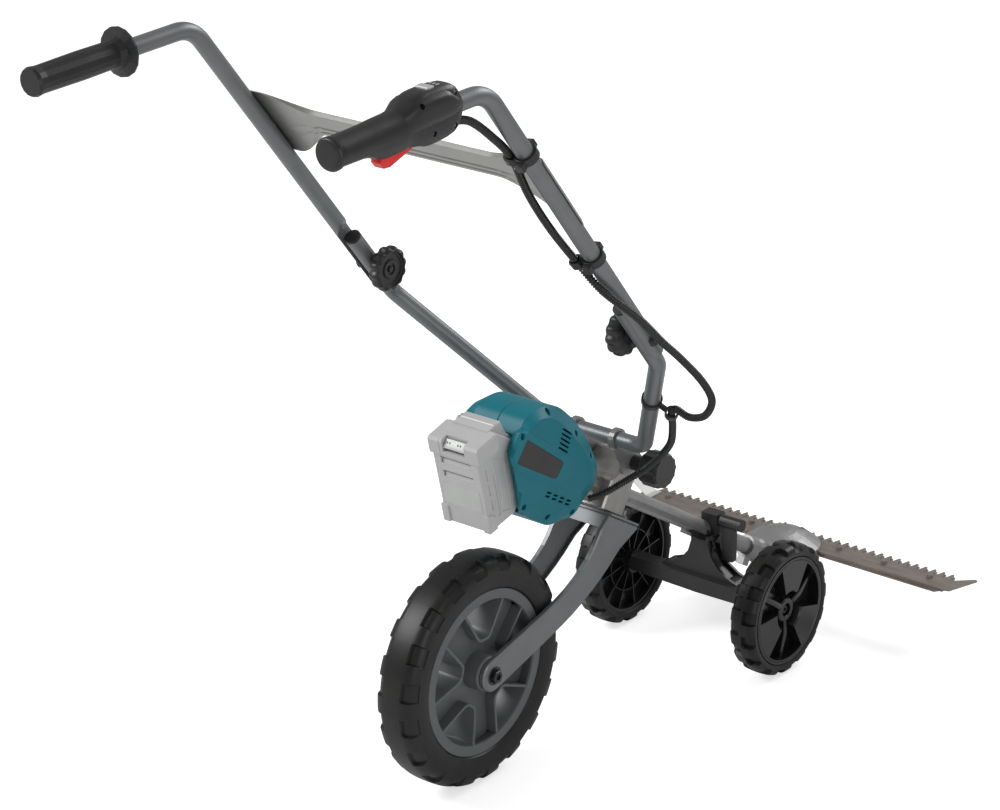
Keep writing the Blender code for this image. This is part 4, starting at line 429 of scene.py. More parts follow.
def inset(outline, distance):
    """Move every edge of an outline inwards."""
    area = sum(a[0] * b[1] - b[0] * a[1] for a, b in zip(outline, outline[1:] + outline[:1]))
    distance *= copysign(1, area)
    lines = []
    count = len(outline)
    for i in range(count):
        a, b = Vector(outline[i]), Vector(outline[(i + 1) % count])
        along = (b - a).normalized()
        lines.append((a + Vector((-along.y, along.x)) * distance, along))
    points = []
    for i in range(count):
        (p, r), (q, s) = lines[i - 1], lines[i]
        cross = r.x * s.y - r.y * s.x
        if abs(cross) < 1e-6:
            points.append(tuple(q))
            continue
        t = ((q - p).x * s.y - (q - p).y * s.x) / cross
        points.append(tuple(p + r * t))
    return points


def prism(outline, low, high, edge=0, run=0):
    """An outline in the battery's side view from low to high, drawn in by edge over a run at both ends."""
    steps = [(low, edge), (low + run, 0), (high - run, 0), (high, edge)] if edge else [(low, 0), (high, 0)]
    return loft([[TO_BATTERY @ Vector((x, a, b)) for a, b in inset(outline, shrink)]
                 for x, shrink in steps])


def span(side, near, far):
    """The lower and upper X of what reaches from near to far on one side."""
    return sorted((side * near, side * far))


def soften(obj, width, segments=2, angle=28):
    bevel = obj.modifiers.new("bevel", "BEVEL")
    bevel.width = width
    bevel.segments = segments
    bevel.limit_method = "ANGLE"
    bevel.angle_limit = radians(angle)
    even = obj.modifiers.new("even shading", "WEIGHTED_NORMAL")
    even.keep_sharp = True


def add(name, mesh, body, slot, nodes=(), sharp=32):
    """A visual piece that rides on a body, takes a slot's finish and stands for CAD nodes."""
    mesh.name = name
    mesh.shade_smooth()
    mesh.set_sharp_from_angle(angle=radians(sharp))
    mesh.materials.clear()
    mesh.materials.append(MATERIALS[slot])
    obj = placed(name, mesh)
    if body:
        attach(obj, body)
    if nodes:
        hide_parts(*nodes)
    return obj


def bake(obj):
    """Apply an object's modifiers and delete the tools that they used."""
    bpy.context.view_layer.update()
    graph = bpy.context.evaluated_depsgraph_get()
    mesh = bpy.data.meshes.new_from_object(obj.evaluated_get(graph))
    tools = [m.object for m in obj.modifiers if m.type == "BOOLEAN"]
    obj.modifiers.clear()
    obj.data = mesh
    for tool in tools:
        bpy.data.objects.remove(tool)
    return mesh


def carved(mesh, cutters=(), joins=()):
    """Join a mesh with others and cut others out of it."""
    obj = placed("work", mesh)
    for operation, tools in (("UNION", joins), ("DIFFERENCE", cutters)):
        for tool in tools:
            step = obj.modifiers.new("step", "BOOLEAN")
            step.operation = operation
            step.solver = "EXACT"
            step.object = placed("tool", tool)
    result = bake(obj)
    bpy.data.objects.remove(obj)
    return result


def merged(*meshes):
    """Several meshes as one, without joining their volumes."""
    bm = bmesh.new()
    for mesh in meshes:
        bm.from_mesh(mesh)
    result = bpy.data.meshes.new("shape")
    bm.to_mesh(result)
    bm.free()
    return result


# Tyres

def tread_tyre(name, body, node, place, section, pitches, phases, depth_at, start=0):
    """A tyre whose section is a list of (x, radius), lowered by depth_at(x, radius, phase)."""
    rings = []
    for k in range(pitches):
        for phase in phases:
            angle = 2 * pi * (k + phase) / pitches + start
            ring = []
            for x, radius in section:
                reach = radius - depth_at(x, radius, phase)
                ring.append(Vector(place) + Vector((x, reach * sin(angle), reach * cos(angle))))
            rings.append(ring)
    return add(name, loft(rings, loop=True), body, "tyre_rubber", (node,), 27)


def ramp(value, low, high):
    """A smooth rise from 0 at low to 1 at high."""
    share = min(max((value - low) / (high - low), 0), 1)
    return share * share * (3 - 2 * share)


def mirrored(half):
    return half + [(-x, radius) for x, radius in reversed(half)]


def rear_tyre():
    half = metres([(25, 112), (27.5, 114), (30, 120.5), (30.9, 129), (30.6, 137), (30.3, 138.8),
                   (29.8, 141.2), (29, 144), (26.2, 149), (22.5, 152), (18.5, 153.6), (15.2, 154.25),
                   (14.1, 154.4), (10, 154.8), (3, 155), (1.2, 155)])
    section = mirrored(half)

    def depth(x, radius, phase):
        inside = ramp(phase, 0.235, 0.265) * (1 - ramp(phase, 0.735, 0.765))
        return 0.0046 * inside * ramp(abs(x), 0.0141, 0.0151) * ramp(radius, 0.1365, 0.14)

    phases = [0, 0.12, 0.235, 0.265, 0.38, 0.5, 0.62, 0.735, 0.765, 0.88]
    tread_tyre("rear_tyre_tread", "rear_wheel", "rear_tyre", REAR_CENTRE, section, 19, phases, depth,
               radians(5.2))


def rear_rim():
    half, bead, well, hub, window_rise = 0.026, 0.1117, 0.0985, 0.024, 0.07
    barrel = lathe([(bead, -half), (bead, half), (well, half), (well - 0.001, half - 0.003),
                    (well + 0.004, 0.004), (well + 0.004, -0.004), (well - 0.001, 0.003 - half),
                    (well, -half)], REAR_CENTRE, 96, "X", True)
    middle = lathe([(0, -0.0325), (hub - 0.002, -0.0325), (hub, -0.03), (hub + 0.001, 0), (hub, 0.03),
                    (hub - 0.002, 0.0325), (0, 0.0325)], REAR_CENTRE)

    def window(shrink, reach):
        """The outline of a window: the six points of its inner end, then its arc along the ring."""
        low, start, lean = 0.0445 + shrink, 0.0105 - shrink * 0.75, 0.62
        edge = low
        while hypot(start + lean * (edge - low), edge) < reach:
            edge += 0.0002
        side = degrees(atan2(start + lean * (edge - low), edge))
        inner_end = [(-start - 0.004, low + 0.006), (-start, low + 0.0015), (-start + 0.004, low),
                     (start - 0.004, low), (start, low + 0.0015), (start + 0.004, low + 0.006)]
        return inner_end + [(a, b) for b, a in arc((0, 0), reach, side, -side, 10)]

    def ring_at(outline, x, share, turn):
        """A window's outline, drawn in to a share of its size and turned round the wheel."""
        spin = Matrix.Rotation(-turn, 3, "X")
        return [REAR_CENTRE + spin @ Vector((x, y * share, (z - window_rise) * share + window_rise))
                for y, z in outline]

    outer, inner, edge = window(0, well + 0.001), window(0.0032, well - 0.0005), window(0.0016, well)
    depth, spokes, plate_reach = half - 0.0008, 5, well + 0.006
    wall = ((outer, -depth, 1), (outer, 0, 0.96), (outer, depth, 1), (inner, depth, 1), (inner, 0, 0.9),
            (inner, -depth, 1))
    walls, plate = [], ([], [])
    for turn in turns(spokes):
        walls.append(loft([ring_at(*row, turn) for row in wall], loop=True))
        for x, ring in zip((-0.0085, 0.0085), plate):
            ring += ring_at([edge[-1]] + edge[:7], x, 0.94, turn)
            for share in (0.37, 0.5, 0.63):
                angle = turn + 2 * pi / spokes * share
                spot = Vector((x, plate_reach * sin(angle), plate_reach * cos(angle)))
                ring.append(REAR_CENTRE + spot)
    obj = add("rear_rim_moulding", merged(barrel, middle, loft(plate), *walls), "rear_wheel", "rim_plastic",
              ("rear_rim",), 30)
    soften(obj, 0.0006, 2, 34)


def axle_bolts():
    washer = metres([(0, 40.9), (12.2, 40.9), (12.6, 41.4), (12, 42), (0, 42)])
    bolt = metres([(0, 41.8), (9.2, 41.8), (9.2, 46.4), (8.2, 47.5), (4.6, 47.7), (4.2, 44), (0, 44)])
    pieces = []
    for side in (-1, 1):
        pieces += [turned(washer, REAR_CENTRE, side, 32), turned(bolt, REAR_CENTRE, side, 6)]
    obj = add("rear_axle_bolts", merged(*pieces), "chassis", "front_rim_plastic", ("rear_axle",), 30)
    soften(obj, 0.0003, 1)


def front_tyres():
    half = metres([(16, 77), (18.5, 78.2), (19.8, 81.5), (19.9, 85), (19, 88.5), (17, 91.2), (14.8, 92.6),
                   (12.5, 93.3), (11.6, 93.45), (6, 93.9), (3, 94), (1.8, 94)])
    section = mirrored(half)

    def depth(x, radius, phase):
        turn = phase if x > 0 else (phase + 0.5) % 1
        groove = ramp(turn, 0.24, 0.28) * (1 - ramp(turn, 0.72, 0.76))
        return 0.0056 * (groove * ramp(abs(x), 0.0019, 0.0031) * ramp(radius, 0.0845, 0.0905))

    phases = [0, 0.11, 0.22, 0.24, 0.28, 0.4, 0.5, 0.61, 0.72, 0.76, 0.78, 0.9]
    for side, label in SIDES:
        tread_tyre(f"front_{label}_tyre_tread", f"front_wheel_{label}", f"front_{label}_tyre",
                   FRONT_CENTRES[side], section, 16, phases, depth)


def front_wheels():
    bead, hub, pocket_rise = 0.0768, 0.0172, 0.048
    disc_view = [(0, -0.004), (bead - 0.006, -0.004), (bead - 0.005, -0.016), (bead, -0.016),
                 (bead, 0.0186), (bead - 0.0008, 0.019), (bead - 0.0034, 0.019), (bead - 0.004, 0.0184),
                 (bead - 0.0046, 0.019), (0.03, 0.019), (0.0275, 0.017), (0.024, 0.004), (0, 0.0036)]
    boss_view = [(0, -0.021), (hub, -0.021), (hub, 0.0112), (hub - 0.0016, 0.013), (0, 0.013)]
    ridge_view = metres([(15, -2), (72.5, -2), (72.5, 9.5), (56, 12), (34, 15), (15, 13)])
    pocket_view = arc((0, 0), 0.07, -34, 34, 10) + arc((0, 0), 0.0225, 28, -28, 4)
    spindle_view = metres([(0, 4.5), (9.4, 4.5), (9.4, 12.5), (10.4, 14), (0, 14)])
    ring_view = metres([(44.5, -3.5), (44.5, -12), (46, -12), (46, -3.5)])
    bolt_view = metres([(0, 5), (6.6, 5), (6.6, 9.4), (5.8, 10.2), (3.2, 10.2), (3, 7.2), (0, 7.2)])
    washer_view = metres([(0, 4.6), (8.8, 4.6), (8.8, 5.8), (0, 5.8)])
    for side, label in SIDES:
        place, wheel = FRONT_CENTRES[side], f"front_wheel_{label}"
        pockets, ridges = [], []
        for i in range(3):
            middle = radians(68 + 120 * i)
            rings = []
            for x, share in ((0.0015, 0.95), (0.0165, 1), (0.0215, 1.025)):
                ring = []
                for z, y in pocket_view:
                    spot = Vector((side * x, y * share, (z - pocket_rise) * share + pocket_rise))
                    ring.append(place + Matrix.Rotation(-middle, 3, "X") @ spot)
                rings.append(ring)
            pockets.append(loft(rings))
            turn = frame_at(place, radians(4) - middle)
            rings = []
            for y, shrink in ((-0.0046, 0.003), (-0.0036, 0.0009), (0, 0), (0.0036, 0.0009),
                              (0.0046, 0.003)):
                rings.append([turn @ Vector((side * x, y, z)) for z, x in inset(ridge_view, shrink)])
            ridges.append(loft(rings))
        disc = carved(turned(disc_view, place, side, 96), pockets)
        body = carved(disc, (), ridges + [turned(boss_view, place, side)])
        body = carved(body, [turned(spindle_view, place, side, 36)])
        nodes = (f"front_{label}_wheel",)
        obj = add(f"front_{label}_wheel_disc", body, wheel, "front_rim_plastic", nodes, 30)
        soften(obj, 0.0007, 2, 34)
        ribs = [turned(ring_view, place, side, 60, True)]
        low, high = span(side, -0.0128, -0.0035)
        for i in range(12):
            turn = frame_at(place, radians(30 * i + 8))
            ribs.append(moved(box((low, -0.0009, hub - 0.001), (high, 0.0009, bead - 0.0055)), turn))
        add(f"front_{label}_wheel_ribs", merged(*ribs), wheel, "front_rim_plastic")
        bolt = merged(turned(bolt_view, place, side, 6), turned(washer_view, place, side, 30))
        add(f"front_{label}_wheel_bolt", bolt, wheel, "black_plastic")


def bracket_details():
    ribs = []
    for side in (-1, 1):
        for turn in (26, -26):
            place = TO_MACHINE @ frame_at((side * 0.0121, 0.515, 0.15), radians(turn))
            ribs.append(moved(box((-0.0019, -0.001, -0.03), (0.0019, 0.001, 0.03)), place))
    add("front_bracket_ribs", merged(*ribs), "front_carrier", "black_plastic")


# Hand knobs and cross brace

def hand_knobs():
    """The fold knobs point inwards along X; each row is (x, share of the radius, share of the waves)."""
    radius, lobes, steps = 0.03, 12, 8
    rows = [(0.0001, 0.33, 0), (0.0042, 0.34, 0), (0.0046, 0.82, 0.6), (0.0056, 0.92, 1),
            (0.0085, 0.975, 1), (0.012, 0.995, 1), (0.016, 0.995, 1), (0.0188, 0.97, 1),
            (0.0207, 0.92, 0.9), (0.0217, 0.85, 0.5), (0.0219, 0.8, 0.1), (0.0217, 0.77, 0),
            (0.0192, 0.74, 0), (0.0188, 0.72, 0), (0.0188, 0.66, 0), (0.0176, 0.645, 0), (0.0174, 0.44, 0),
            (0.0188, 0.42, 0), (0.0192, 0.38, 0), (0.0188, 0.26, 0), (0.017, 0.25, 0), (0.0168, 0.14, 0),
            (0.0192, 0.13, 0), (0.0196, 0.08, 0)]
    for side, label in SIDES:
        place = Vector((side * 0.2014, 0, FOLD_RISE))
        rings = []
        for x, share, wave in rows:
            ring = []
            for turn in turns(lobes * steps):
                notch = (0.5 - 0.5 * cos(lobes * turn)) ** 1.6
                reach = radius * share * (1 - 0.11 * wave * notch)
                spot = place + Vector((-side * x, reach * sin(turn), reach * cos(turn)))
                ring.append(TO_HANDLE @ spot)
            rings.append(ring)
        add(f"handle_knob_{label}_moulding", loft(rings), f"{label}_fold_knob", "black_plastic",
            (f"handle_knob_{label}",), 34)


def cross_brace():
    """The pressed rail with a lip along its top and two grooves, and ends that wrap round the tubes."""
    wrap, thickness, flare_start = 0.0123, 0.0019, 0.13
    profile = [(0.006, 1), (0.0006, 0.995), (0, 0.965), (0, 0.5), (0.002, 0.465), (0.002, 0.425), (0, 0.39),
               (0, 0.31), (0.002, 0.275), (0.002, 0.235), (0, 0.2), (0.0002, 0.12), (0.003, 0.06),
               (0.0075, 0)]
    reach = HALF_HANDLE + wrap * sin(radians(62))
    rings = []
    for i in range(-36, 37):
        x = reach * i / 36
        flare = ramp(abs(x), flare_start, HALF_HANDLE - 0.012)
        top, bottom = 0.626 + 0.024 * flare, 0.582 - 0.048 * flare
        over = max(abs(x) - HALF_HANDLE, 0)
        front = sqrt(wrap * wrap - over * over)
        outer = [(x, front + raised * (1 - flare), bottom + (top - bottom) * share)
                 for raised, share in profile]
        back = thickness * (front - 0.0002) / wrap / 2
        ring = [(a, b + thickness / 2, c) for a, b, c in outer]
        ring += [(a, max(b - back, 0), c) for a, b, c in reversed(outer)]
        rings.append([TO_HANDLE @ Vector(spot) for spot in ring])
    obj = add("cross_brace_pressing", loft(rings), "handle_upper", "brace_metal", ("cross_brace",), 30)
    soften(obj, 0.0003, 1, 50)


def clip_straps():
    """The strap of each upper clip, with a block before and behind its tube and a screw in the rear one."""
    # These two points lack SHIFT, so the screw faces the operator, not the side away from the cable
    for label, rise, spot in (("top", 0.671, CABLE_ROUTE[3]), ("middle", 0.475, CABLE_ROUTE[6])):
        middle = Vector((HALF_HANDLE, 0, rise))
        away = middle - TO_HANDLE.inverted() @ Vector(spot)
        away.z = 0
        away.normalize()
        aside = Vector((-away.y, away.x, 0))
        rings = []
        for z, reach in ((-0.006, 0.0137), (-0.0052, 0.0143), (0.0052, 0.0143), (0.006, 0.0137),
                         (0.006, 0.01135), (-0.006, 0.01135)):
            rings.append([TO_HANDLE @ (middle + Vector((reach * cos(a), reach * sin(a), z)))
                          for a in turns(40)])
        to_block = TO_HANDLE @ Matrix.Translation(middle) @ Matrix((
            (away.x, aside.x, 0, 0), (away.y, aside.y, 0, 0), (0, 0, 1, 0), (0, 0, 0, 1)))
        blocks = [moved(box((0.0125, -0.0052, -0.0056), (0.0215, 0.0052, 0.0056)), to_block),
                  moved(box((-0.019, -0.0048, -0.0056), (-0.0125, 0.0048, 0.0056)), to_block)]
        strap = merged(loft(rings, loop=True), *blocks)
        soften(add(f"cable_clip_{label}_strap", strap, "handle_upper", "black_plastic"), 0.0008, 2, 40)
        screw = lathe([(0, -0.0051), (0.0032, -0.0051), (0.0032, -0.0062), (0.0024, -0.0072),
                       (0.0012, -0.0072), (0.0011, -0.0058), (0, -0.0058)], (0.0175, 0, 0), 14, "Y")
        add(f"cable_clip_{label}_screw", moved(screw, to_block), "handle_upper", "bright_steel")


# Right-hand switch housing

def oval(y, top, bottom, half, power, count=40):
    """A section across the grip, in millimetres: an ellipse that turns squarer as the power grows."""
    y, top, bottom, half = metres([(y, top, bottom, half)])[0]
    ring = []
    for angle in turns(count):
        across, up = cos(angle), sin(angle)
        reach = (abs(across) ** power + abs(up) ** power) ** (-1 / power)
        height = (top + bottom) / 2 + (top - bottom) / 2 * up * reach
        ring.append(TO_GRIPS @ Vector((HALF_HANDLE + half * across * reach, y, height)))
    return ring


def switch_housing():
    ends = ((-253.8, 16), (-252.8, 17.6), (-250.5, 18.9), (-246.2, 18.7), (-244.8, 17))
    sections = [(y, radius, -radius, radius, 2) for y, radius in ends]
    sections += [(-225, 17.1, -17.2, 17, 2), (-205, 17.3, -17.6, 17.2, 2), (-193, 17.5, -20, 17.2, 2.1),
                 (-184, 18, -24.8, 17.2, 2.2), (-174, 18.3, -27.2, 17.4, 2.2), (-160, 18.8, -27, 17.6, 2.2),
                 (-150, 19.5, -26.4, 17.8, 2.3), (-144, 21.8, -25.8, 17.8, 2.4),
                 (-138, 25.2, -25.2, 17.6, 2.6), (-130, 28.6, -25, 17.4, 4.2),
                 (-122, 30.5, -26.2, 17.4, 4.8), (-116, 31.4, -28.5, 17.3, 4.8), (-108, 32, -30, 17.2, 4.4),
                 (-97, 32, -29.6, 17.2, 4.6), (-80, 31.2, -28.4, 17.1, 4.6), (-68, 29.6, -26.4, 16.8, 4.2),
                 (-61, 25.8, -23.2, 16.2, 3.4), (-56, 20, -16.8, 15, 3), (-52.2, 12.8, -8, 13, 2.6),
                 (-50.8, 9, -4, 10.5, 2.4)]
    bulge = [(-153, 17.5, -8, 16.5, 2.4), (-144, 21.2, -10, 18.8, 2.8), (-134, 26.2, -9.2, 21.2, 3.4),
             (-124, 28.2, -8.5, 21.9, 3.8), (-105, 28.7, -7.8, 22.1, 4), (-85, 28, -7.2, 22.1, 4),
             (-77, 25.5, -6.8, 21.9, 3.8), (-70, 20, -5.5, 21.4, 3.4), (-63.5, 16, -2, 20, 3),
             (-60.5, 12, 2, 17.8, 2.5)]
    x = HALF_HANDLE

    def grips_block(low, high):
        return moved(box(low, high), TO_GRIPS)

    def bore(y, z, low, high, radius):
        return moved(lathe([(radius, low), (radius, high)], (x, y, z), 18), TO_GRIPS)

    openings = [grips_block((x - 0.0078, -0.1846, -0.06), (x + 0.0078, -0.114, -0.009)),
                grips_block((x - 0.0095, -0.1045, 0.016), (x + 0.0095, -0.0925, 0.045)),
                grips_block((x - 0.013, -0.112, 0.0311), (x + 0.013, -0.074, 0.045))]
    screw_view = metres([(0, 12.5), (2.6, 12.5), (2.6, 13.6), (1.8, 14.5), (1, 14.5), (0.9, 13.4),
                         (0, 13.4)])
    bores, screws = [], []
    for y, z in ((-0.1262, 0.0208), (-0.0672, 0.0205), (-0.1042, -0.016), (-0.069, -0.0165)):
        for side in (-1, 1):
            bores.append(bore(y, z, *span(side, 0.0125, 0.03), 0.0031))
            screws.append(moved(turned(screw_view, (x, y, z), side, 12), TO_GRIPS))
    bores.append(bore(-0.2425, -0.004, 0.013, 0.03, 0.0024))
    body, bulge = (loft([oval(*section) for section in view]) for view in (sections, bulge))
    obj = add("switch_housing_shell", carved(carved(body, openings, [bulge]), bores), "handle_upper",
              "black_plastic", ("switch_housing_right", "switch_housing_left"), 34)
    soften(obj, 0.0004, 1, 50)
    _, top, _, half, power = sections[11]
    rows = [(y, top, half, power, 0.8) for y, top, _, half, power in sections[4:12]]
    rows += [(-148.2, top, half, power, 0.9), (-147.2, top, half, power, -0.8)]
    cover = []
    for y, top, half, power, grow in rows:
        ring = oval(y, top + grow, -top - grow, half + grow, power, 48)
        cover.append(ring[-5:] + ring[:30])
    obj = add("switch_housing_grip_cover", loft(cover), "handle_upper", "grip_rubber", (), 40)
    soften(obj, 0.0003, 1, 40)
    cap = [oval(y, radius, -radius, radius, 2)
           for y, radius in ((-253.5, 15.2), (-254.2, 15), (-254.4, 12))]
    add("switch_housing_end_disc", loft(cap), "handle_upper", "grip_rubber", (), 40)
    add("switch_housing_screws", merged(*screws), "handle_upper", "cast_grey")
    lamps = [grips_block((x - 0.007 + 0.005 * i, -0.085, 0.03), (x - 0.0045 + 0.005 * i, -0.08, 0.0313))
             for i in range(3)]
    add("switch_housing_lamps", merged(*lamps), "handle_upper", "pale_plastic")


# Handle tubes and cable

def flattened(mesh, side, place):
    """Press the inner side of an upper tube flat where it lies against the lower tube."""
    flat_until, flat_end, face, slope = 0.38, 0.402, 0.224, 0.64
    back = place.inverted()
    for vertex in mesh.vertices:
        spot = back @ vertex.co
        if spot.z > flat_end:
            continue
        limit = face - max(spot.z - flat_until, 0) * slope
        if side * spot.x < limit:
            spot.x = side * limit
            vertex.co = place @ spot
    return mesh


def handle_tubes():
    def tube(route):
        return sweep(route, [TUBE_RADIUS - 0.0001] * len(route), 32)

    side_x = 0.2127
    corners = [(-side_x, 0, 0.367), (-side_x, 0, 0.2496), (-0.078, 0, 0), (0.078, 0, 0),
               (side_x, 0, 0.2496), (side_x, 0, 0.367)]
    route = resample([TO_HANDLE @ point for point in rounded(corners, 0.034)], 0.006)
    add("lower_handle_tube", tube(route), "handle_lower", "silver_paint", ("lower_handle",), 50)
    for side, label in SIDES:
        across = Vector((side * HALF_HANDLE, 0, 0))
        start = TO_HANDLE @ Vector((side * HALF_HANDLE, 0, 0.28))
        end = TO_GRIPS @ Vector((side * HALF_HANDLE, -0.2425, 0))
        route = resample(rounded([start, HANDLE_TOP + across, end], 0.05, 16), 0.004)
        mesh = flattened(tube(route), side, TO_HANDLE)
        nodes = (f"upper_handle_{label}",)
        add(f"upper_handle_tube_{label}", mesh, "handle_upper", "silver_paint", nodes, 50)


CABLE_ROUTE = metres([(222, -288, 985), (222, -257, 977), (216, -213, 948), (206, -167, 912),
                      (204, -134, 860), (204, -94, 809), (205, -46, 757), (226, -25.5, 721), (246, 20, 678),
                      (252, 59, 639), (256, 92, 609), (262, 128, 571), (262, 150, 539), (245, 160, 512),
                      (222, 160, 504), (199, 163, 508), (185, 173, 496), (174, 191, 470), (150, 218, 430),
                      (105, 238, 384), (72, 228, 356), (52, 206, 340), (40, 192, 335)])


def corrugated(route):
    """A sleeve with rounded rings along a route."""
    pitch = 0.0036
    route = resample(route, pitch / 4)
    heights = (0.005, 0.005, 0.00395, 0.00385)
    return sweep(route, [heights[i % 4] for i in range(len(route))], 14)


def cable():
    """Two lengths that meet at a point of the route; neither rides on a body."""
    points = [TO_MACHINE @ Vector(point) for point in CABLE_ROUTE]
    split, steps = 15, 6
    whole = catmull(points, steps)
    halves = (("upper", whole[:split * steps + 1]), ("lower", whole[split * steps:]))
    upper, lower = (add(f"control_cable_{label}", corrugated(route), None, "cable_black",
                        ("control_cable",), 60) for label, route in halves)
    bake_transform(upper)
    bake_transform(lower)


# Motor housing

def smooth_outline(points, corners, steps=3):
    """Add points between the given ones along a smooth curve, and keep the listed corners sharp."""
    out = []
    count = len(points)
    for i in range(count):
        b, c = Vector(points[i]), Vector(points[(i + 1) % count])
        a, d = Vector(points[i - 1]), Vector(points[(i + 2) % count])
        if i in corners:
            a = b * 2 - c
        if (i + 1) % count in corners:
            d = c * 2 - b
        if i in corners and (i + 1) % count in corners:
            out.append(tuple(b))
            continue
        out += [tuple(curve_point(a, b, c, d, k / steps)) for k in range(steps)]
    return out


def battery_block(low, high):
    return moved(box(low, high), TO_BATTERY)


def housing():
    barrel = metres([(50, 9.5), (45, 4), (38.6, -6.5), (46.7, -14.6), (77.9, -45.8), (99, -67),
                     (106, -74.7), (120, -75.2), (150, -76), (174, -75.5), (200, -62.5), (220.5, -51.5),
                     (233, -26), (243.7, -4.5), (241.7, 7), (237, 18), (214, 35), (186, 49.5), (160, 59.8),
                     (139, 64.8), (112, 68.8), (89, 65), (70, 55.2), (54.5, 41.2), (50.7, 27)])
    face = metres([(32, 15), (30.5, 10), (31.4, -14.8), (41.4, -21.5), (71, -50.2), (80, -50.3),
                   (92.7, -50.1), (115, -48.8), (145, -47.2), (170, -45.9), (188, -45), (200.6, -38.1),
                   (202.3, -19.6), (208.6, -1.3), (209, 9), (205, 16.5), (186.5, 27.5), (168, 34),
                   (153.4, 38.9), (135, 45), (108, 50.7), (85, 50.5), (67, 44), (57, 34), (50, 24)])
    skirt = {5: (0.09, -0.07), 6: (0.098, -0.0728), 7: (0.1176, -0.0657), 8: (0.1456, -0.0595),
             9: (0.1784, -0.0572), 10: (0.2, -0.052), 11: (0.213, -0.044)}
    corners = (0, 1, 2, 3, 4, 5)
    pad_foot = metres([(39.1, 22.2), (48.4, 23.8), (166.3, 14.3), (173.6, 7.6), (175.2, -1), (174.8, -10.2),
                       (166.3, -24.7), (152.8, -27.1), (54.4, -27.6), (38.4, -21.3), (31.4, -14.8),
                       (30.5, 10), (32, 15)])
    pad_top = metres([(39.6, 20.8), (48.4, 21.6), (133.9, 9.5), (142.1, 6.2), (145.6, 2.1), (145.2, -9),
                      (142.3, -15.4), (133, -21.1), (56, -22.2), (43, -20.8), (32.8, -12.5), (31.8, 8),
                      (33.5, 15)])
    plate_view = metres([(48.7, 14.3), (134.2, 6.6), (138.5, 5.2), (139.3, 1.8), (136.3, -14.4),
                         (134, -17.6), (127.3, -18.8), (44, -19.1)])
    screws = metres([(37.8, 14.8, 55.2), (85, 57.5, 43.5), (157, 46.5, 47), (206, 27.5, 47),
                     (97.5, -65.5, 49), (203, -49, 45), (160, -66, 44)])
    # Outlines of the black sheets behind the vents, which paint shade into the vent pockets
    shade_sheet_views = [metres([(114, 49), (148, 47), (150, 16), (116, 18)]),
                  metres([(126, -33), (192, -33), (190, -45.5), (126, -45.5)])]

    def ring_of(points, x):
        return smooth_outline([(x, a, b) for a, b in points], corners)

    full_face, full_foot, full_top = face, pad_foot, pad_top
    for side, label in SIDES:
        least = 0.03 if side > 0 else 0.046
        face = [(max(a, least), b) for a, b in full_face]
        pad_foot = [(max(a, least + 0.0005), b) for a, b in full_foot]
        pad_top = [(max(a, least + 0.0015), b) for a, b in full_top]
        cheek = [(0.0385, 0.0185), (0.0368, 0.012)] + barrel[2:]
        bend = []
        for i, (a, b) in enumerate(zip(cheek, face)):
            if i in skirt:
                bend.append((0.048, *skirt[i]))
            else:
                bend.append((0.0452, (a[0] + b[0]) / 2, (a[1] + b[1]) / 2))
        rings = [ring_of(inset(barrel, 0.0006), 0.0002), ring_of(barrel, 0.0009), ring_of(barrel, 0.0384),
                 ring_of(cheek, 0.039), smooth_outline(bend, corners), ring_of(face, 0.0515)]
        shell = loft([[TO_DRIVE @ Vector((side * x, a, b)) for x, a, b in ring] for ring in rings])
        pad = loft([[TO_DRIVE @ Vector((side * x, a, b)) for a, b in view]
                    for x, view in ((0.0505, pad_foot), (0.0517, pad_foot), (0.0552, pad_top))])
        cutters = [battery_block((-0.0378, -0.02, -0.0055), (0.0378, 0.0548, 0.25)),
                   battery_block((-0.034, -0.02, -0.006), (0.034, 0.0745, 0.25)),
                   battery_block((-0.0378, -0.02, 0.072), (0.0378, 0.0708, 0.25))]

        def slot(view, start, end):
            return loft([[TO_DRIVE @ Vector((x, a, b)) for a, b in view] for x in span(side, start, end)])

        cutters.append(slot(plate_view, 0.0546, 0.06))
        for i in range(5):
            s, h = 0.1189 + 0.0011 * i, 0.0458 - 0.0059 * i
            cutters.append(slot([(s, h), (s + 0.0232, h - 0.002), (s + 0.0217, h - 0.0046),
                                 (s + 0.0004, h - 0.0026)], 0.044, 0.06))
        for i in range(4):
            for j in range(2):
                s, h = 0.1328 + 0.0155 * i - 0.0012 * j, -0.0358 - 0.0051 * j
                cutters.append(slot([(s, h), (s + 0.0094, h), (s + 0.0068, h - 0.0029),
                                     (s - 0.0026, h - 0.0029)], 0.044, 0.06))
        heads = []
        for s, h, level in screws:
            hole = [(0.0041, level - 0.0075), (0.0041, level - 0.001), (0.0047, level + 0.01)]
            head = [(0, level - 0.0078), (0.0036, level - 0.0078), (0.0036, level - 0.006),
                    (0.0028, level - 0.0048), (0.0015, level - 0.0048), (0.0013, level - 0.0062),
                    (0, level - 0.0062)]
            cutters.append(moved(turned(hole, (0, s, h), side, 20), TO_DRIVE))
            heads.append(moved(turned(head, (0, s, h), side, 16), TO_DRIVE))
        obj = add(f"motor_housing_shell_{label}", carved(shell, cutters, (pad,)), "chassis", "teal_plastic",
                  (f"motor_housing_{label}",), 22)
        soften(obj, 0.0008, 2, 22)
        # Black sheets at the floor of the vent pockets: painted shade that stands in for the shaded inside
        # of the housing seen through the vents
        painted_shade_sheets = [slot(view, 0.0425, 0.0445) for view in shade_sheet_views]
        add(f"vent_painted_shade_{label}", merged(*painted_shade_sheets), "chassis", "black_plastic")
        sign = slot(inset(plate_view, 0.0003), 0.054, 0.055)
        soften(add(f"blank_plate_{label}", sign, "chassis", "black_plastic"), 0.0002, 1)
        add(f"housing_screws_{label}", merged(*heads), "chassis", "cast_grey")


# Battery

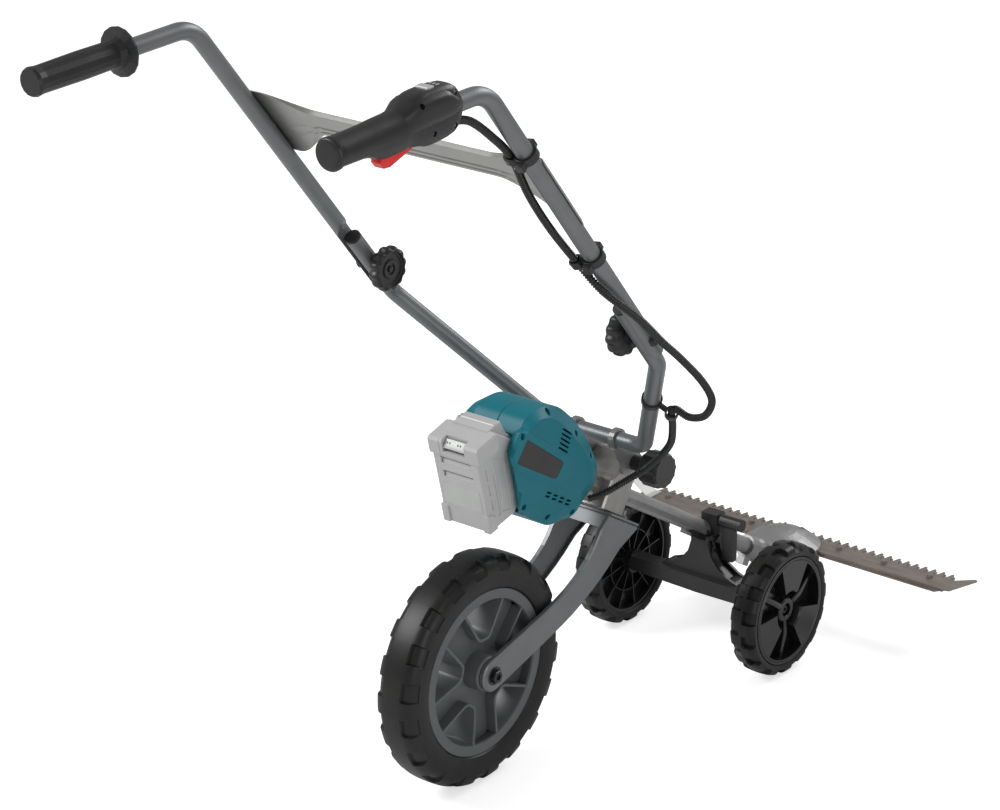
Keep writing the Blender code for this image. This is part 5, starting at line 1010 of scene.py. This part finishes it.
def battery():
    half, back, deep, top, rail_front = 0.037, -0.004, 0.0545, 0.123, 0.07
    slot_rises = (0.07, 0.0903)
    body_view = [(back, -0.004), (deep - 0.011, -0.004), (deep, 0.003), (deep, 0.0745),
                 (rail_front, 0.0895), (rail_front - 0.034, top), (back, top - 0.004)]
    rail_view = [(deep - 0.01, 0.004), (rail_front, 0.004), (rail_front, 0.092),
                 (rail_front - 0.0045, 0.1015), (deep - 0.01, 0.1015)]
    ridge_view = [(0.03, 0.1), (0.032, top + 0.001), (0.0585, top + 0.0005), (0.0655, 0.1)]
    cover_view = [(back - 0.0015, 0.0985), (0.036, 0.0985), (0.036, top - 0.001), (0.033, top),
                  (back + 0.002, top - 0.0015), (back - 0.0015, top - 0.005)]
    foot_view = [(back - 0.0022, -0.0046), (back + 0.013, -0.0046), (back + 0.013, 0.014),
                 (back + 0.006, 0.0205), (back - 0.0022, 0.0205)]
    joins = [prism(rail_view, -0.03, 0.03), prism(ridge_view, -0.028, 0.028, 0.0006, 0.0015)]
    for low, high in ((-0.041, -0.0215), (0.0215, 0.041)):
        joins.append(prism(cover_view, low, high, 0.0015, 0.0015))
    joins.append(prism([(x * 0.97 + 0.0005, z) for x, z in cover_view], -0.023, 0.023))
    for side in (-1, 1):
        joins.append(prism(foot_view, *span(side, 0.027, 0.0387), 0.0008, 0.001))
    cutters = []
    for z in slot_rises:
        cutters.append(prism([(back - 0.004, z + 0.0056), (back + 0.005, z + 0.0046),
                              (back + 0.005, z - 0.0046), (back - 0.004, z - 0.005)], -0.0245, 0.0245))
    for x in (-0.018, 0.018):
        cutters.append(battery_block((x - 0.0019, 0.0632, -0.006), (x + 0.0019, 0.071, 0.0605)))
    cutters.append(prism([(back - 0.004, top - 0.0185), (back + 0.0105, top - 0.0185),
                          (back + 0.0125, top + 0.004), (back - 0.004, top + 0.004)], -0.0178, 0.0178))
    # Lowest and highest point, and front and rear, of each groove in a side
    grooves = ((0.01, 0.072, 0.015, 0.0195), (0.01, 0.072, 0.0425, 0.044), (0.024, 0.04, 0.006, 0.0085),
               (0.046, 0.062, 0.006, 0.0085), (0.068, 0.084, 0.006, 0.0085))
    recess_view = metres([(22.5, 12), (38.5, 6), (40, 88), (24.5, 94)])
    for side in (-1, 1):
        a, b = span(side, half - 0.0009, half + 0.003)
        cutters += [battery_block((a, front, low), (b, end, high)) for low, high, front, end in grooves]
        cutters.append(prism(recess_view, *span(side, half - 0.0006, half + 0.003)))
    shell = carved(prism(body_view, -half, half, 0.0015, 0.0015), cutters, joins)
    soften(add("battery_shell", shell, "battery", "battery_plastic", ("battery_case",), 24), 0.0008, 2, 24)
    bars = [prism([(back + 0.0014, z - 0.0046), (back + 0.0055, z - 0.0046), (back + 0.0055, z + 0.0016),
                   (back + 0.003, z + 0.0012)], -0.0232, 0.0238) for z in slot_rises]
    add("battery_slot_bars", merged(*bars), "battery", "pale_plastic")
    label_view = [(back - 0.0004, 0.024), (back + 0.002, 0.024), (back + 0.002, 0.0555),
                  (back - 0.0004, 0.0555)]
    add("battery_bare_label", prism(label_view, -0.03, 0.03), "battery", "pale_plastic")
    panel_view = metres([(23.5, 18), (37.5, 12), (39, 84), (25.5, 90)])
    for side, label in SIDES[::-1]:
        panel = prism(panel_view, *span(side, half - 0.0009, half - 0.0003))
        add(f"battery_side_panel_{label}", panel, "battery", "pale_plastic")
    lip = prism([(0.0455, top + 0.0004), (0.0475, top + 0.0016), (0.0575, top + 0.0012),
                 (0.061, top - 0.01), (0.059, top - 0.0105), (0.056, top - 0.0012)], -0.0262, 0.0262)
    soften(add("battery_edge_strip", lip, "battery", "pale_plastic"), 0.0004, 1)
    press_view = [(back, top - 0.013), (back + 0.01, top - 0.013), (back + 0.01, top - 0.0045),
                  (back + 0.0085, top - 0.004), (back + 0.0015, top - 0.0105)]
    press = prism(press_view, -0.017, 0.017, 0.0005, 0.0005)
    dot_view = [(0, -0.002), (0.0011, -0.002), (0.0011, 0.002), (0, 0.002)]
    dots = [moved(lathe(dot_view, (x, back + 0.005, top - 0.0072), 10, "Z"), TO_BATTERY)
            for x in (-0.0125, -0.0085, 0.0045, 0.0085)]
    obj = add("battery_latch", carved(press, dots), "battery_button", "pale_plastic",
              ("battery_release_button",), 24)
    soften(obj, 0.0005, 2, 24)


def build():
    rear_tyre()
    rear_rim()
    axle_bolts()
    front_tyres()
    handle_tubes()
    cable()
    housing()
    battery()
    front_wheels()
    bracket_details()
    hand_knobs()
    cross_brace()
    clip_straps()
    switch_housing()


bpy.context.scene.view_settings.view_transform = "Standard"
add_camera()
add_lamps()
add_sky()
add_floor()
MATERIALS = {name: finish_of(name, *values, **more) for name, (*values, more) in FINISHES.items()}
dress_nodes()
build()
